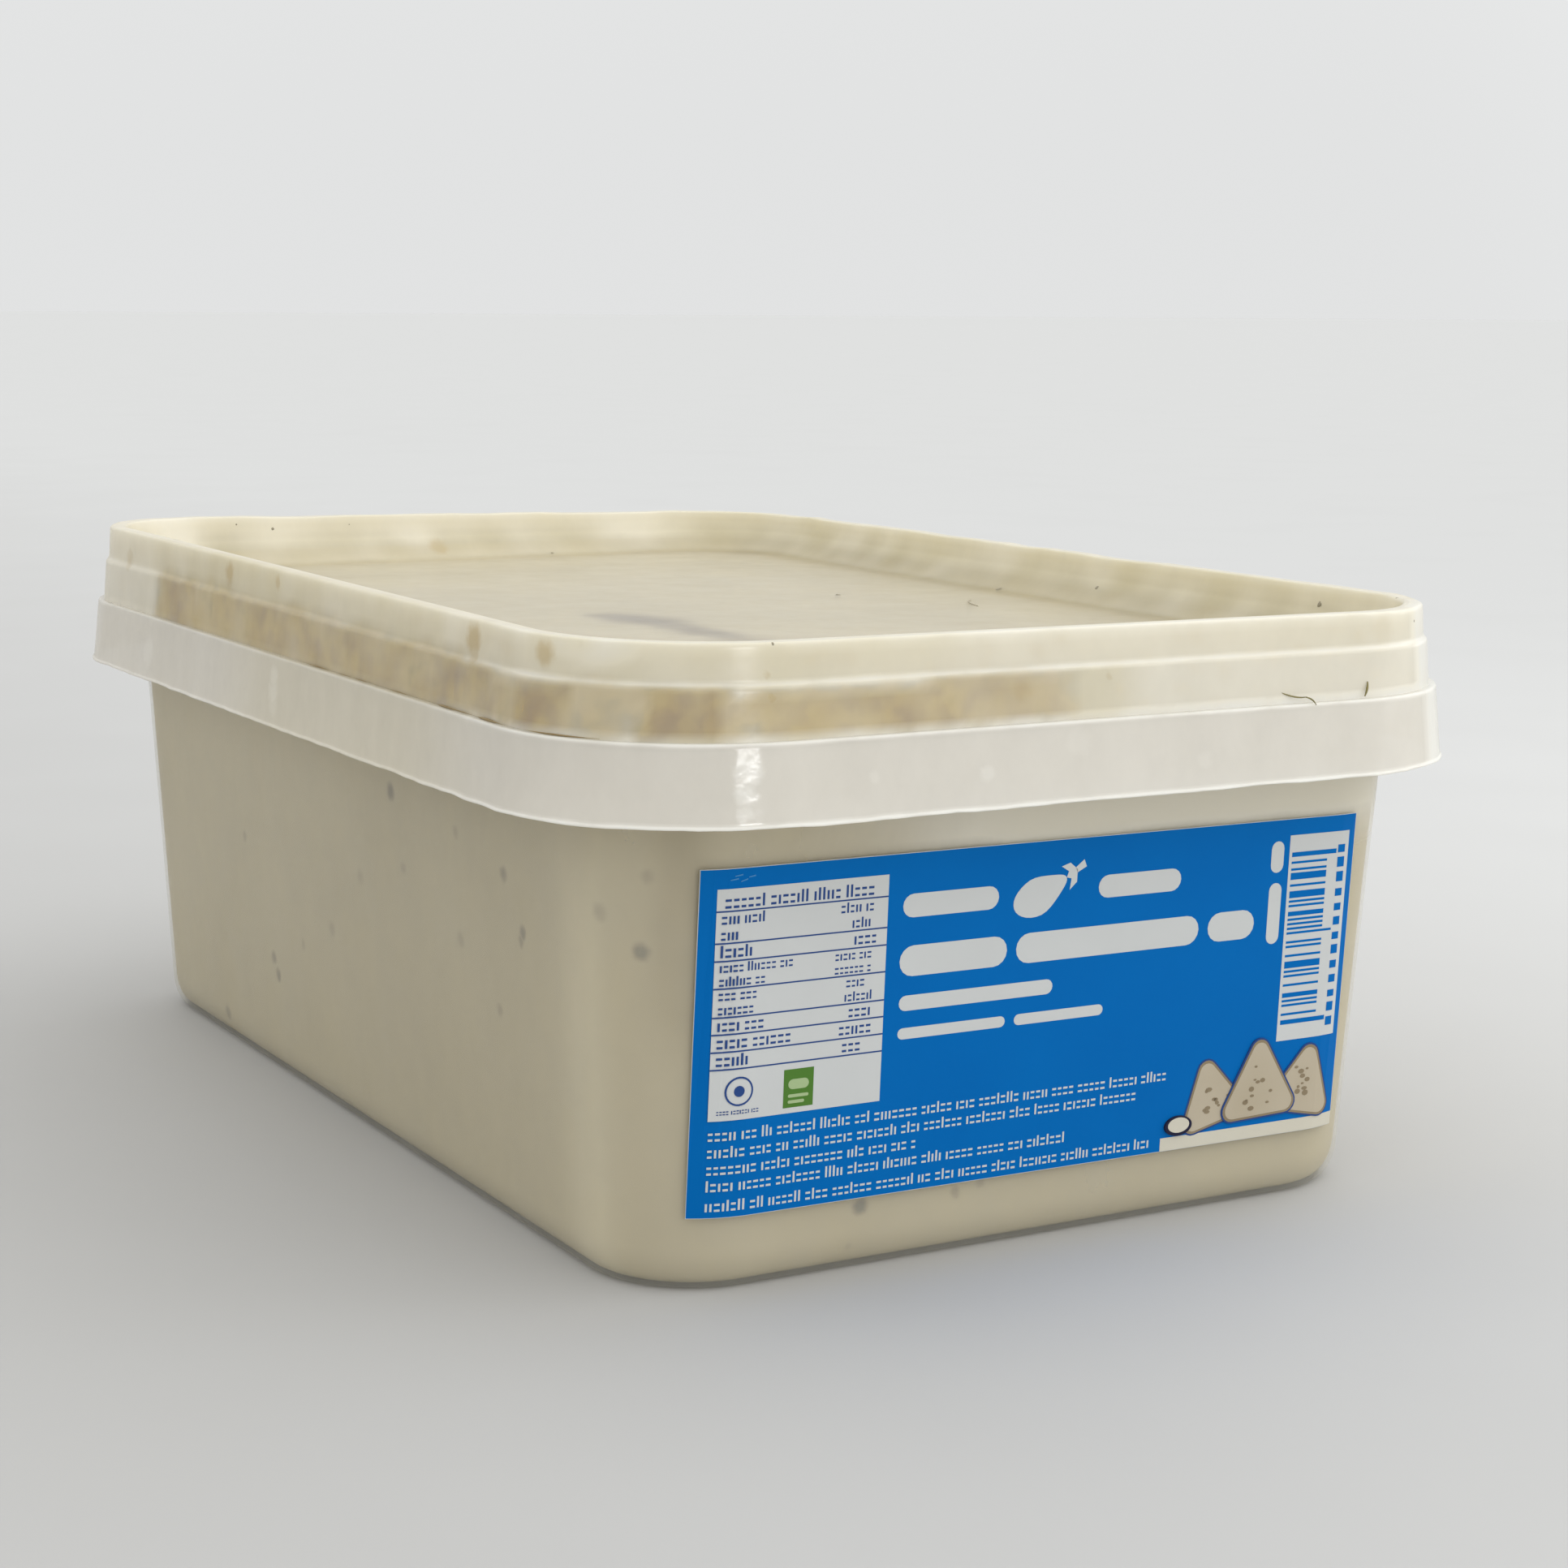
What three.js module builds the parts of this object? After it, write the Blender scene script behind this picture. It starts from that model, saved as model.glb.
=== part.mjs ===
// A rectangular deli tub of aubergine dip, shut with its press-fit lid.
//
// Millimetres. X runs across the width, Y along the length with the label on the -Y end,
// Z up. The origin is at the centre of the base. Every upright face is a ring: the lid's
// ridge outline in plan, grown or shrunk by an outset, at a height. A piece is a list of
// rings skinned in order, from the middle of its underside to the middle of its top.
import * as THREE from 'three';

// Driving dimensions
const RIDGE_WIDTH = 115.4; // over the lid's ridge, along X
const RIDGE_LENGTH = 177.7; // over the lid's ridge, along Y
const RIDGE_CORNER = 21; // corner radius of the ridge in plan
const HEIGHT = 70; // base to ridge
const GAP = 0.3; // clearance between pieces that touch

// Tub: a thin moulded shell with a shelf, an upright rim inside the lid and a hanging skirt
const WALL = 0.8;
const FLOOR = 0.9;
const SHELF_TOP = 60.3;
const WALL_OUTSET_LOW = -7.7; // outside of the wall, run down to the base
const WALL_OUTSET_HIGH = -5.1; // outside of the wall at the shelf
const WALL_CORNER_LOW = 13.5;
const WALL_CORNER_HIGH = 12;
const FOOT_RUN = 2.2; // the rounded foot: how far in
const FOOT_RISE = 4; // and how far up
const FOOT_STEPS = 5;
const SKIRT_BOTTOM = 51.7;
const SKIRT_OUTSET_HIGH = 1.9;
const SKIRT_OUTSET_LOW = 3;
const RIM_TOP = 66.1;
const RIM_OUTSET = -0.9;

// Lid: a recessed panel, a slanted wall up to the ridge, and a stepped outer wall
const LID_WALL = 0.8;
const LID_BOTTOM = SHELF_TOP + GAP;
const PANEL_TOP = 63.4;
const PANEL_OUTSET = -6.5;
const PANEL_EDGE = 0.8; // how far the panel's edge is rounded
const SHOULDER_TOP = 66.8; // where the slanted wall meets the ridge
const SHOULDER_OUTSET = -3;
const RIDGE_INNER_OUTSET = -2.3;
const RIDGE_ROUND = 0.5;
const CHANNEL_TOP = 66.5; // hollow under the ridge that holds the tub's rim
const STEP_TOP = 66;
const STEP_BOTTOM = 65.6;
const STEP_OUTSET_HIGH = 0.25;
const STEP_OUTSET_LOW = 0.7;
const SKIN_OUTSET = 1.14; // outside of the lid at its lower edge
const RIDGE_TILT = 0.55; // the ridge stands higher on -X and lower on +X
const RIDGE_TWIST = 0.3; // and rises towards the -X +Y and +X -Y corners

// Label: a thin sheet that follows the front wall into both corners
const LABEL_WIDTH = 85.9;
const LABEL_HEIGHT = 37.8;
const LABEL_SHEET = 0.2;
const LABEL_SIDE = -0.8; // its middle, along the wall from the front's middle
const LABEL_MIDDLE = 27.2; // its middle, above the base
const LABEL_TILT = THREE.MathUtils.degToRad(-0.4);
const LABEL_COLUMNS = 44;
const LABEL_ROWS = 4;

const CORNER_STEPS = 6; // each corner arc has twice as many sides
const QUARTER = Math.PI / 2;
const { lerp, smoothstep } = THREE.MathUtils;

const wallOutset = (z) => lerp(WALL_OUTSET_LOW, WALL_OUTSET_HIGH, z / SHELF_TOP);
const wallCorner = (z) => lerp(WALL_CORNER_LOW, WALL_CORNER_HIGH, z / SHELF_TOP);

// A rounded rectangle in plan, anticlockwise from above, lifted to a height
function ring(outset, z, corner = RIDGE_CORNER + outset) {
  const x = RIDGE_WIDTH / 2 + outset - corner;
  const y = RIDGE_LENGTH / 2 + outset - corner;
  const plan = new THREE.Shape();
  plan.absarc(x, y, corner, 0, QUARTER);
  plan.absarc(-x, y, corner, QUARTER, 2 * QUARTER);
  plan.absarc(-x, -y, corner, 2 * QUARTER, 3 * QUARTER);
  plan.absarc(x, -y, corner, 3 * QUARTER, 4 * QUARTER);
  return plan.getPoints(CORNER_STEPS).map((point) => new THREE.Vector3(point.x, point.y, z));
}

// Skin rings of equal length, with a flat cap on the first and the last
function skin(rings) {
  const sides = rings[0].length;
  const middles = [rings[0], rings[rings.length - 1]].map((cap) => new THREE.Vector3(0, 0, cap[0].z));
  const points = [...rings.flat(), ...middles];
  const [underside, top] = [points.length - 2, points.length - 1];
  const lastRing = (rings.length - 1) * sides;
  const faces = [];
  for (let side = 0; side < sides; side++) {
    const next = (side + 1) % sides;
    faces.push(underside, next, side, top, lastRing + side, lastRing + next);
    for (let start = 0; start < lastRing; start += sides) {
      const [a, b, c, d] = [start + side, start + next, start + sides + next, start + sides + side];
      faces.push(a, b, c, a, c, d);
    }
  }
  return closedGeometry(points, faces);
}

function closedGeometry(points, faces) {
  const geometry = new THREE.BufferGeometry().setFromPoints(points);
  geometry.setIndex(faces);
  geometry.computeVertexNormals();
  return geometry;
}

// The rounded foot and the wall above it, shrunk by an inset and raised by a lift
function wallRings(inset, lift, top) {
  const rings = [];
  for (let step = 0; step <= FOOT_STEPS; step++) {
    const angle = (QUARTER * step) / FOOT_STEPS;
    const z = FOOT_RISE * (1 - Math.cos(angle));
    const round = FOOT_RUN * (1 - Math.sin(angle)) + inset;
    rings.push(ring(wallOutset(z) - round, z + lift, wallCorner(z) - round));
  }
  rings.push(ring(wallOutset(top) - inset, top, wallCorner(top) - inset));
  return rings;
}

function tub() {
  const shelfUnder = SHELF_TOP - WALL;
  const outside = wallRings(0, 0, shelfUnder);
  const inside = wallRings(WALL, FLOOR, SHELF_TOP).reverse();
  return skin([
    ...outside,
    ring(SKIRT_OUTSET_HIGH - WALL, shelfUnder),
    ring(SKIRT_OUTSET_LOW - WALL, SKIRT_BOTTOM),
    ring(SKIRT_OUTSET_LOW, SKIRT_BOTTOM),
    ring(SKIRT_OUTSET_HIGH, SHELF_TOP),
    ring(RIM_OUTSET, SHELF_TOP),
    ring(RIM_OUTSET, RIM_TOP),
    ring(RIM_OUTSET - WALL, RIM_TOP),
    ring(RIM_OUTSET - WALL, SHELF_TOP),
    ...inside,
  ]);
}

// Height that the ridge gains or loses at a point, fading to nothing at the panel
function ridgeLift({ x, y, z }) {
  const [u, v] = [(2 * x) / RIDGE_WIDTH, (2 * y) / RIDGE_LENGTH];
  return -(RIDGE_TILT * u + RIDGE_TWIST * u * v) * smoothstep(z, PANEL_TOP, HEIGHT);
}

function lid() {
  const panelUnder = PANEL_TOP - LID_WALL;
  const rings = [
    ring(PANEL_OUTSET + GAP, panelUnder),
    ring(SHOULDER_OUTSET + LID_WALL, CHANNEL_TOP),
    ring(STEP_OUTSET_HIGH - LID_WALL, CHANNEL_TOP),
    ring(STEP_OUTSET_HIGH - LID_WALL, STEP_TOP),
    ring(SKIN_OUTSET - LID_WALL, LID_BOTTOM),
    ring(SKIN_OUTSET, LID_BOTTOM),
    ring(STEP_OUTSET_LOW, STEP_BOTTOM),
    ring(STEP_OUTSET_HIGH, STEP_TOP),
    ring(0, HEIGHT - RIDGE_ROUND),
    ring(-RIDGE_ROUND, HEIGHT),
    ring(RIDGE_INNER_OUTSET + RIDGE_ROUND, HEIGHT),
    ring(RIDGE_INNER_OUTSET, HEIGHT - RIDGE_ROUND),
    ring(SHOULDER_OUTSET, SHOULDER_TOP),
    ring(PANEL_OUTSET, PANEL_TOP + PANEL_EDGE),
    ring(PANEL_OUTSET - PANEL_EDGE, PANEL_TOP),
  ];
  for (const point of rings.flat()) point.z += ridgeLift(point);
  return skin(rings);
}

// The dip fills the tub up to the lid's panel
function dip() {
  const top = PANEL_TOP - LID_WALL - GAP;
  const inset = WALL + GAP;
  return skin([
    ...wallRings(inset, FLOOR + GAP, SHELF_TOP),
    ring(wallOutset(SHELF_TOP) - inset, top, wallCorner(SHELF_TOP) - inset),
  ]);
}

// A point on the front wall: so far along it from the middle, so high, and so far off it
function onFrontWall(along, z, off) {
  const corner = wallCorner(z);
  const straight = RIDGE_WIDTH / 2 + wallOutset(z) - corner;
  const turn = Math.max(Math.abs(along) - straight, 0) / corner;
  const x = Math.min(Math.abs(along), straight) + (corner + off) * Math.sin(turn);
  const y = RIDGE_LENGTH / 2 + wallOutset(z) - corner + (corner + off) * Math.cos(turn);
  return new THREE.Vector3(Math.sign(along) * x, -y, z);
}

// Both faces of the sheet, column by column, and the strips that close its edges
function label() {
  const rows = LABEL_ROWS + 1;
  const faceSize = (LABEL_COLUMNS + 1) * rows;
  const points = [];
  for (const off of [GAP + LABEL_SHEET, GAP]) {
    for (let column = 0; column <= LABEL_COLUMNS; column++) {
      for (let row = 0; row <= LABEL_ROWS; row++) {
        const flat = new THREE.Vector2(
          LABEL_WIDTH * (column / LABEL_COLUMNS - 0.5),
          LABEL_HEIGHT * (row / LABEL_ROWS - 0.5),
        ).rotateAround(new THREE.Vector2(), LABEL_TILT);
        points.push(onFrontWall(LABEL_SIDE + flat.x, LABEL_MIDDLE + flat.y, off));
      }
    }
  }
  const faces = [];
  const quad = (a, b, c, d) => faces.push(a, b, c, a, c, d);
  for (let column = 0; column < LABEL_COLUMNS; column++) {
    for (let row = 0; row < LABEL_ROWS; row++) {
      const [a, b, c, d] = [column * rows + row, (column + 1) * rows + row,
        (column + 1) * rows + row + 1, column * rows + row + 1];
      quad(a, b, c, d);
      quad(faceSize + d, faceSize + c, faceSize + b, faceSize + a);
    }
    const [low, lowNext] = [column * rows, (column + 1) * rows];
    quad(low, low + faceSize, lowNext + faceSize, lowNext);
    quad(low + LABEL_ROWS, lowNext + LABEL_ROWS, lowNext + LABEL_ROWS + faceSize, low + LABEL_ROWS + faceSize);
  }
  for (let row = 0; row < LABEL_ROWS; row++) {
    const right = LABEL_COLUMNS * rows + row;
    quad(row, row + 1, row + 1 + faceSize, row + faceSize);
    quad(right, right + faceSize, right + 1 + faceSize, right + 1);
  }
  return closedGeometry(points, faces);
}

function piece(name, geometry, color, roughness) {
  const mesh = new THREE.Mesh(geometry, new THREE.MeshStandardMaterial({ color, roughness, metalness: 0 }));
  mesh.name = name;
  return mesh;
}

const group = new THREE.Group();
group.add(
  piece('tub', tub(), 0xc9c7bf, 0.4),
  piece('lid', lid(), 0xdbd8c8, 0.35),
  piece('dip', dip(), 0xb5ab93, 0.6),
  piece('label', label(), 0x0068b2, 0.35),
);
export default group;
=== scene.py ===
# %% [markdown]
# # A shut tub of aubergine dip
#
# A deli tub is two thin mouldings and what is in them. The tub and the press-fit lid are natural
# polypropylene, less than a millimetre thick, so most of what you see is the dip behind the wall.
# Where dip wets the plastic the wall nearly vanishes, and where air is behind it the wall turns milky.
# The whole scene is built round that one idea: real thin shells, real dip inside them, and a plastic
# that is cloudier where nothing wets it.
#
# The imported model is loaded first. It is the fixed frame: every piece below is placed by its sizes.

# %% Load the frame
import math
import random

import bmesh
import bpy
import numpy as np
from mathutils import Matrix, Quaternion, Vector, noise


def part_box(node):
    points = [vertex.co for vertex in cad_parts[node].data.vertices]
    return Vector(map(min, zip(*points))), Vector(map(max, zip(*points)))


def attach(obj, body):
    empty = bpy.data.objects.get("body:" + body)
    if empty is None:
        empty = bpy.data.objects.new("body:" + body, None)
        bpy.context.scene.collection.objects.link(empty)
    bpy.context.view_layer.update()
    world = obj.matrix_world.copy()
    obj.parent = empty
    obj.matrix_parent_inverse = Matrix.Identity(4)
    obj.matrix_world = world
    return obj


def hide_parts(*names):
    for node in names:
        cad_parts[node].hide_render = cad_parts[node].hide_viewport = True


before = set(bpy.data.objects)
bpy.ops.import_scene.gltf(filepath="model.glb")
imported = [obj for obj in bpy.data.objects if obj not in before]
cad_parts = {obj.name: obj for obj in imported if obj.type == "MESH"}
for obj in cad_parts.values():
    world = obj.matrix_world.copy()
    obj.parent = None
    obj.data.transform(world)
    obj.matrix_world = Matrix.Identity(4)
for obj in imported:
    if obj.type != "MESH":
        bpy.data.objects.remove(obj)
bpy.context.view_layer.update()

print("solids in the frame:", ", ".join(sorted(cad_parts)))

# %% [markdown]
# ## Sizes
#
# Blender works in metres here, but a tub is thought of in millimetres, so every size below is in
# millimetres and is turned to metres in one place, when a mesh is made.
#
# Both mouldings follow one outline: the lid's ridge seen from above, a rounded rectangle. Each height
# of each wall is that outline, grown or shrunk by an *outset*. The outline's own size is read from
# the frame, and the outsets and heights below are the mouldings' profile.

# %% The ridge outline and the profile sizes
MM = 0.001
SKIN_OUTSET = 1.14       # outside of the lid at its lower edge
lid_low, lid_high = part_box("lid")
RIDGE_WIDTH = (lid_high.x - lid_low.x) / MM - 2 * SKIN_OUTSET
RIDGE_LENGTH = (lid_high.y - lid_low.y) / MM - 2 * SKIN_OUTSET
RIDGE_CORNER = 21
RIDGE_TOP = 70
RIDGE_TILT = 0.55        # the ridge stands higher on the left
RIDGE_TWIST = 0.3        # and rises towards two opposite corners

WALL = 0.8               # both mouldings are this thin
FLOOR = 0.9
SHELF_TOP = 60.3         # the ledge that the lid rests on
WALL_OUTSET = (-7.7, -5.1)    # outside of the tub's wall at the base and at the shelf
WALL_CORNER = (13.5, 12.0)    # its corner radius at the same heights
FOOT_RUN = 2.2
FOOT_RISE = 4.0
SKIRT_BOTTOM = 51.7
SKIRT_OUTSET = (3.0, 1.9)     # outside of the hanging skirt, bottom and top
RIM_TOP = 66.1
RIM_OUTSET = -0.9

LID_BOTTOM = 59.75       # it sinks a little into the ledge, so that no dark gap shows
PANEL_TOP = 63.4
PANEL_OUTSET = -6.5
SHOULDER_TOP = 66.8
SHOULDER_OUTSET = -3.0
RIDGE_INNER = -2.3
STEP_TOP = 66.0
STEP_BOTTOM = 65.6
STEP_OUTSET = (0.7, 0.25)     # the lid's outside below and above its little step

print(f"ridge outline {RIDGE_WIDTH:.1f} x {RIDGE_LENGTH:.1f} mm, corner {RIDGE_CORNER} mm")

# %% [markdown]
# ## Loops and profiles
#
# A moulding like this is a *loft*: one profile swept round a rounded rectangle. Blender could do it
# with a curve and a bevel object, but then the corner radius could not change with height, and on
# this tub it does. So the loft is built from loops. Every loop has the same number of points in the
# same order, which makes joining them simple, and leaves a fine even mesh to push about later.

# %% One loop round the tub
CORNER_SIDES = 24
SHORT_SIDES = 60
LONG_SIDES = 110


def loop_plan(corner_sides, short_sides, long_sides):
    """Rows of corner place (x, y) and outward direction (x, y), anticlockwise from the +X +Y corner."""
    corners = [(1, 1), (-1, 1), (-1, -1), (1, -1)]
    rows = []
    for index, (x, y) in enumerate(corners):
        next_x, next_y = corners[(index + 1) % 4]
        for step in range(corner_sides + 1):
            angle = math.radians(90 * (index + step / corner_sides))
            rows.append((x, y, math.cos(angle), math.sin(angle)))
        sides = short_sides if index % 2 == 0 else long_sides
        angle = math.radians(90 * (index + 1))
        for step in range(1, sides):
            share = step / sides
            place = (x + (next_x - x) * share, y + (next_y - y) * share)
            rows.append((*place, math.cos(angle), math.sin(angle)))
    return np.array(rows)


def loop(plan, outset, z, corner=None):
    """The plan's loop at one outset, height and corner radius, in millimetres."""
    corner = RIDGE_CORNER + outset if corner is None else corner
    x = plan[:, 0] * (RIDGE_WIDTH / 2 + outset - corner) + plan[:, 2] * corner
    y = plan[:, 1] * (RIDGE_LENGTH / 2 + outset - corner) + plan[:, 3] * corner
    return np.stack([x, y, np.full(len(plan), float(z))], 1)


PLAN = loop_plan(CORNER_SIDES, SHORT_SIDES, LONG_SIDES)
print(f"each loop has {len(PLAN)} points")

# %% [markdown]
# A profile is written as a few corner points. No moulded edge is sharp, and a small radius is what
# catches the light along an edge, so `softened` rounds every point of the profile, and `refined`
# then splits the long runs, so that the surface can be made slightly uneven.

# %% Round a profile's corners and split its long runs
def softened(profile, radius, steps=4):
    """Each inner point of the profile becomes a small curve of about that radius."""
    points = [np.array(point, float) for point in profile]
    made = [points[0]]
    for before, here, after in zip(points, points[1:], points[2:]):
        back, ahead = before - here, after - here
        reach = min(radius, 0.45 * np.linalg.norm(back[:2]), 0.45 * np.linalg.norm(ahead[:2]))
        start = here + back / np.linalg.norm(back[:2]) * reach
        end = here + ahead / np.linalg.norm(ahead[:2]) * reach
        for step in range(steps + 1):
            t = step / steps
            made.append(start * (1 - t) ** 2 + here * 2 * t * (1 - t) + end * t ** 2)
    return made + [points[-1]]


def refined(profile, longest=3.0, hold=0.25):
    """Splits long runs, with a point close to each end that keeps the flat part's shading flat."""
    made = [profile[0]]
    for before, after in zip(profile, profile[1:]):
        run = np.linalg.norm((after - before)[:2])
        shares = []
        if run > 4 * hold:
            count = math.ceil(run / longest)
            inner = [step / count for step in range(1, count)]
            shares = sorted([hold / run, *inner, 1 - hold / run])
        made += [before + (after - before) * share for share in shares]
        made.append(after)
    return made


def wall_outset(z):
    return WALL_OUTSET[0] + (WALL_OUTSET[1] - WALL_OUTSET[0]) * z / SHELF_TOP


def wall_corner(z):
    return WALL_CORNER[0] + (WALL_CORNER[1] - WALL_CORNER[0]) * z / SHELF_TOP


def wall_profile(inset, lift, top, foot_steps=8):
    """The rounded foot and the wall above it, shrunk by an inset: rows of outset, height and corner."""
    rows = []
    for step in range(foot_steps + 1):
        angle = math.radians(90 * step / foot_steps)
        z = FOOT_RISE * (1 - math.cos(angle))
        inward = FOOT_RUN * (1 - math.sin(angle)) + inset
        rows.append((wall_outset(z) - inward, z + lift, wall_corner(z) - inward))
    rows.append((wall_outset(top) - inset, top, wall_corner(top) - inset))
    return [np.array(row) for row in rows]


def rows_of(points):
    """Adds the corner radius to (outset, height) points that follow the ridge outline."""
    return [(outset, z, RIDGE_CORNER + outset) for outset, z in points]


print("a tub wall 30 mm up has an outset of", round(wall_outset(30), 2), "mm")

# %% [markdown]
# The two ends of a profile are closed with a flat cap. The loops go on inwards until their corner
# radius is nothing, and the rectangle that is left is filled by a grid whose edge points are the
# loop's own. A fan from one middle point would be simpler, but its long thin triangles would show as
# soon as the panel is made a little uneven.

# %% Make a closed shell from a profile
CAP_STEPS = 6
SAME_POINT = 1e-7        # metres: points closer than this are merged


def cap_rows(row):
    """Loops from the profile's end inwards, to the loop whose corners have no radius."""
    outset, z, corner = row
    shares = [step / CAP_STEPS for step in range(1, CAP_STEPS + 1)]
    return [np.array((outset - corner * share, z, corner * (1 - share))) for share in shares]


def cap_grid(row):
    """Points of the rectangle inside the last loop, as rows along Y."""
    outset, z, _ = row
    x = np.linspace(-1, 1, SHORT_SIDES + 1) * (RIDGE_WIDTH / 2 + outset)
    y = np.linspace(-1, 1, LONG_SIDES + 1) * (RIDGE_LENGTH / 2 + outset)
    grid_x, grid_y = np.meshgrid(x, y)
    return np.stack([grid_x, grid_y, np.full(grid_x.shape, z)], -1)


def quads_between(rows, across, first, wrap):
    """Quads of a block of points, `rows` by `across`, whose first point has that index."""
    faces = []
    for row in range(rows - 1):
        for column in range(across if wrap else across - 1):
            a = first + row * across + column
            b = first + row * across + (column + 1) % across
            faces.append((a, b, b + across, a + across))
    return faces


def placed(name, data):
    """A new object with that data, put in the scene."""
    made = bpy.data.objects.new(name, data)
    bpy.context.scene.collection.objects.link(made)
    return made


def shell(name, profile, shape, caps=True):
    """A closed mesh lofted from the profile. shape moves the points, given with their outward directions."""
    low = list(reversed(cap_rows(profile[0]))) if caps else []
    high = cap_rows(profile[-1]) if caps else []
    rows = low + list(profile) + high
    if not caps:
        rows = rows + [rows[0]]
    points = np.concatenate([loop(PLAN, *row) for row in rows])
    outward = np.tile(PLAN[:, 2:], (len(rows), 1))
    faces = quads_between(len(rows), len(PLAN), 0, True)
    if caps:
        for row in (rows[0], rows[-1]):
            grid = cap_grid(row)
            faces += quads_between(grid.shape[0], grid.shape[1], len(points), False)
            points = np.concatenate([points, grid.reshape(-1, 3)])
            outward = np.concatenate([outward, np.zeros((grid.shape[0] * grid.shape[1], 2))])
    return mesh_object(name, shape(points, outward), faces)


def mesh_object(name, points, faces):
    """A mesh object from points in millimetres, with doubled points merged and faces turned outwards."""
    mesh = bpy.data.meshes.new(name)
    mesh.from_pydata((np.asarray(points) * MM).tolist(), [], faces)
    work = bmesh.new()
    work.from_mesh(mesh)
    bmesh.ops.remove_doubles(work, verts=work.verts, dist=SAME_POINT)
    bmesh.ops.recalc_face_normals(work, faces=work.faces)
    work.to_mesh(mesh)
    work.free()
    mesh.polygons.foreach_set("use_smooth", [True] * len(mesh.polygons))
    return placed(name, mesh)


def report(piece):
    print(f"{piece.name}: {len(piece.data.vertices)} points, {len(piece.data.polygons)} faces")


# %% [markdown]
# ## Unevenness
#
# Thin polypropylene comes out of the mould warm and cools unevenly, so its long edges wave by a few
# tenths of a millimetre. One smooth noise, read at each point, is enough: both faces of the thin wall
# are close together, read nearly the same value and move together, so the wall stays as thick.

# %% Smooth noise and the ridge's lift
def waves(points, length, seed):
    """Smooth noise from about -1 to 1 at each point, with waves of about that length in millimetres."""
    shift = Vector((seed * 17.3, seed * 5.1, seed * 9.7))
    return np.array([noise.noise(Vector(point) / length + shift) for point in points])


def smoothstep(value, low, high):
    t = np.clip((value - low) / (high - low), 0, 1)
    return t * t * (3 - 2 * t)


def falling(value, start, end):
    """1 up to the start and 0 from the end on."""
    return smoothstep(-value, -end, -start)


def beyond_ridge(points):
    """How far each point is outside the ridge outline. Inside it is negative."""
    x = np.abs(points[:, 0]) - (RIDGE_WIDTH / 2 - RIDGE_CORNER)
    y = np.abs(points[:, 1]) - (RIDGE_LENGTH / 2 - RIDGE_CORNER)
    corner = np.hypot(np.maximum(x, 0), np.maximum(y, 0))
    return np.where((x > 0) & (y > 0), corner, np.maximum(x, y)) - RIDGE_CORNER


def ridge_lift(points):
    """How much higher the ridge stands at each point. It fades to nothing at the panel."""
    u = 2 * points[:, 0] / RIDGE_WIDTH
    v = 2 * points[:, 1] / RIDGE_LENGTH
    fade = smoothstep(points[:, 2], PANEL_TOP, RIDGE_TOP)
    return -(RIDGE_TILT * u + RIDGE_TWIST * u * v) * fade


def far_side(points):
    """The right and the back of the lid, whose inner wall faces the viewer."""
    return smoothstep(np.maximum(points[:, 0] / RIDGE_WIDTH, points[:, 1] / RIDGE_LENGTH), 0.3, 0.45)


ON_WALL = -2.9           # points of the tub that are further in than this are on its wall
ON_SKIRT = -2.6          # and those further out than this on its skirt or shelf
ON_SKIN = -1.5           # points of the lid that are further out than this are on its outer skin
test_points = np.array([[-50.0, 0, 70], [50.0, 0, 70]])
print("ridge lift, left and right:", np.round(ridge_lift(test_points), 2), "mm")

# %% [markdown]
# ## The tub
#
# The tub is one injection moulding: a floor, a rounded foot, a tapering wall, a shelf for the lid, an
# upright rim that plugs into the lid, and a skirt that hangs outside and stiffens the top. The skirt
# is what a hand lifts it by. All of it is one profile here, from the middle of the underside out and
# up, and back down the inside.

# %% Loft the tub
SKIRT_WAVE = 0.18        # how far the skirt's wall bows inwards
SKIRT_EDGE_WAVE = 0.2    # and how uneven its trimmed lower edge is
LIP = 0.22               # the small bead along its lower edge
WALL_BOW = 0.12          # how far the tub's wall bows
SHELF_FILLET = 0.6       # where the wall turns out into the shelf
TUB_ROUND = 0.38         # radius of the other edges


def tub_profile():
    under_shelf = SHELF_TOP - WALL
    outside = wall_profile(0, 0, under_shelf - SHELF_FILLET)
    inside = wall_profile(WALL, FLOOR, SHELF_TOP - SHELF_FILLET)[::-1]
    top = rows_of([
        (wall_outset(under_shelf) + SHELF_FILLET, under_shelf),
        (SKIRT_OUTSET[1] - WALL, under_shelf),
        (SKIRT_OUTSET[0] - WALL, SKIRT_BOTTOM),
        (SKIRT_OUTSET[0], SKIRT_BOTTOM),
        (SKIRT_OUTSET[0], SKIRT_BOTTOM + LIP),
        (SKIRT_OUTSET[0] - LIP, SKIRT_BOTTOM + 1.6 * LIP),
        (SKIRT_OUTSET[1], SHELF_TOP),
        (RIM_OUTSET, SHELF_TOP),
        (RIM_OUTSET, RIM_TOP),
        (RIM_OUTSET - WALL, RIM_TOP),
        (RIM_OUTSET - WALL, SHELF_TOP),
        (wall_outset(SHELF_TOP) - WALL + SHELF_FILLET, SHELF_TOP),
    ])
    middle = softened([outside[-1], *top, inside[0]], TUB_ROUND)
    return refined(outside[:-1] + middle + inside[1:])


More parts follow.
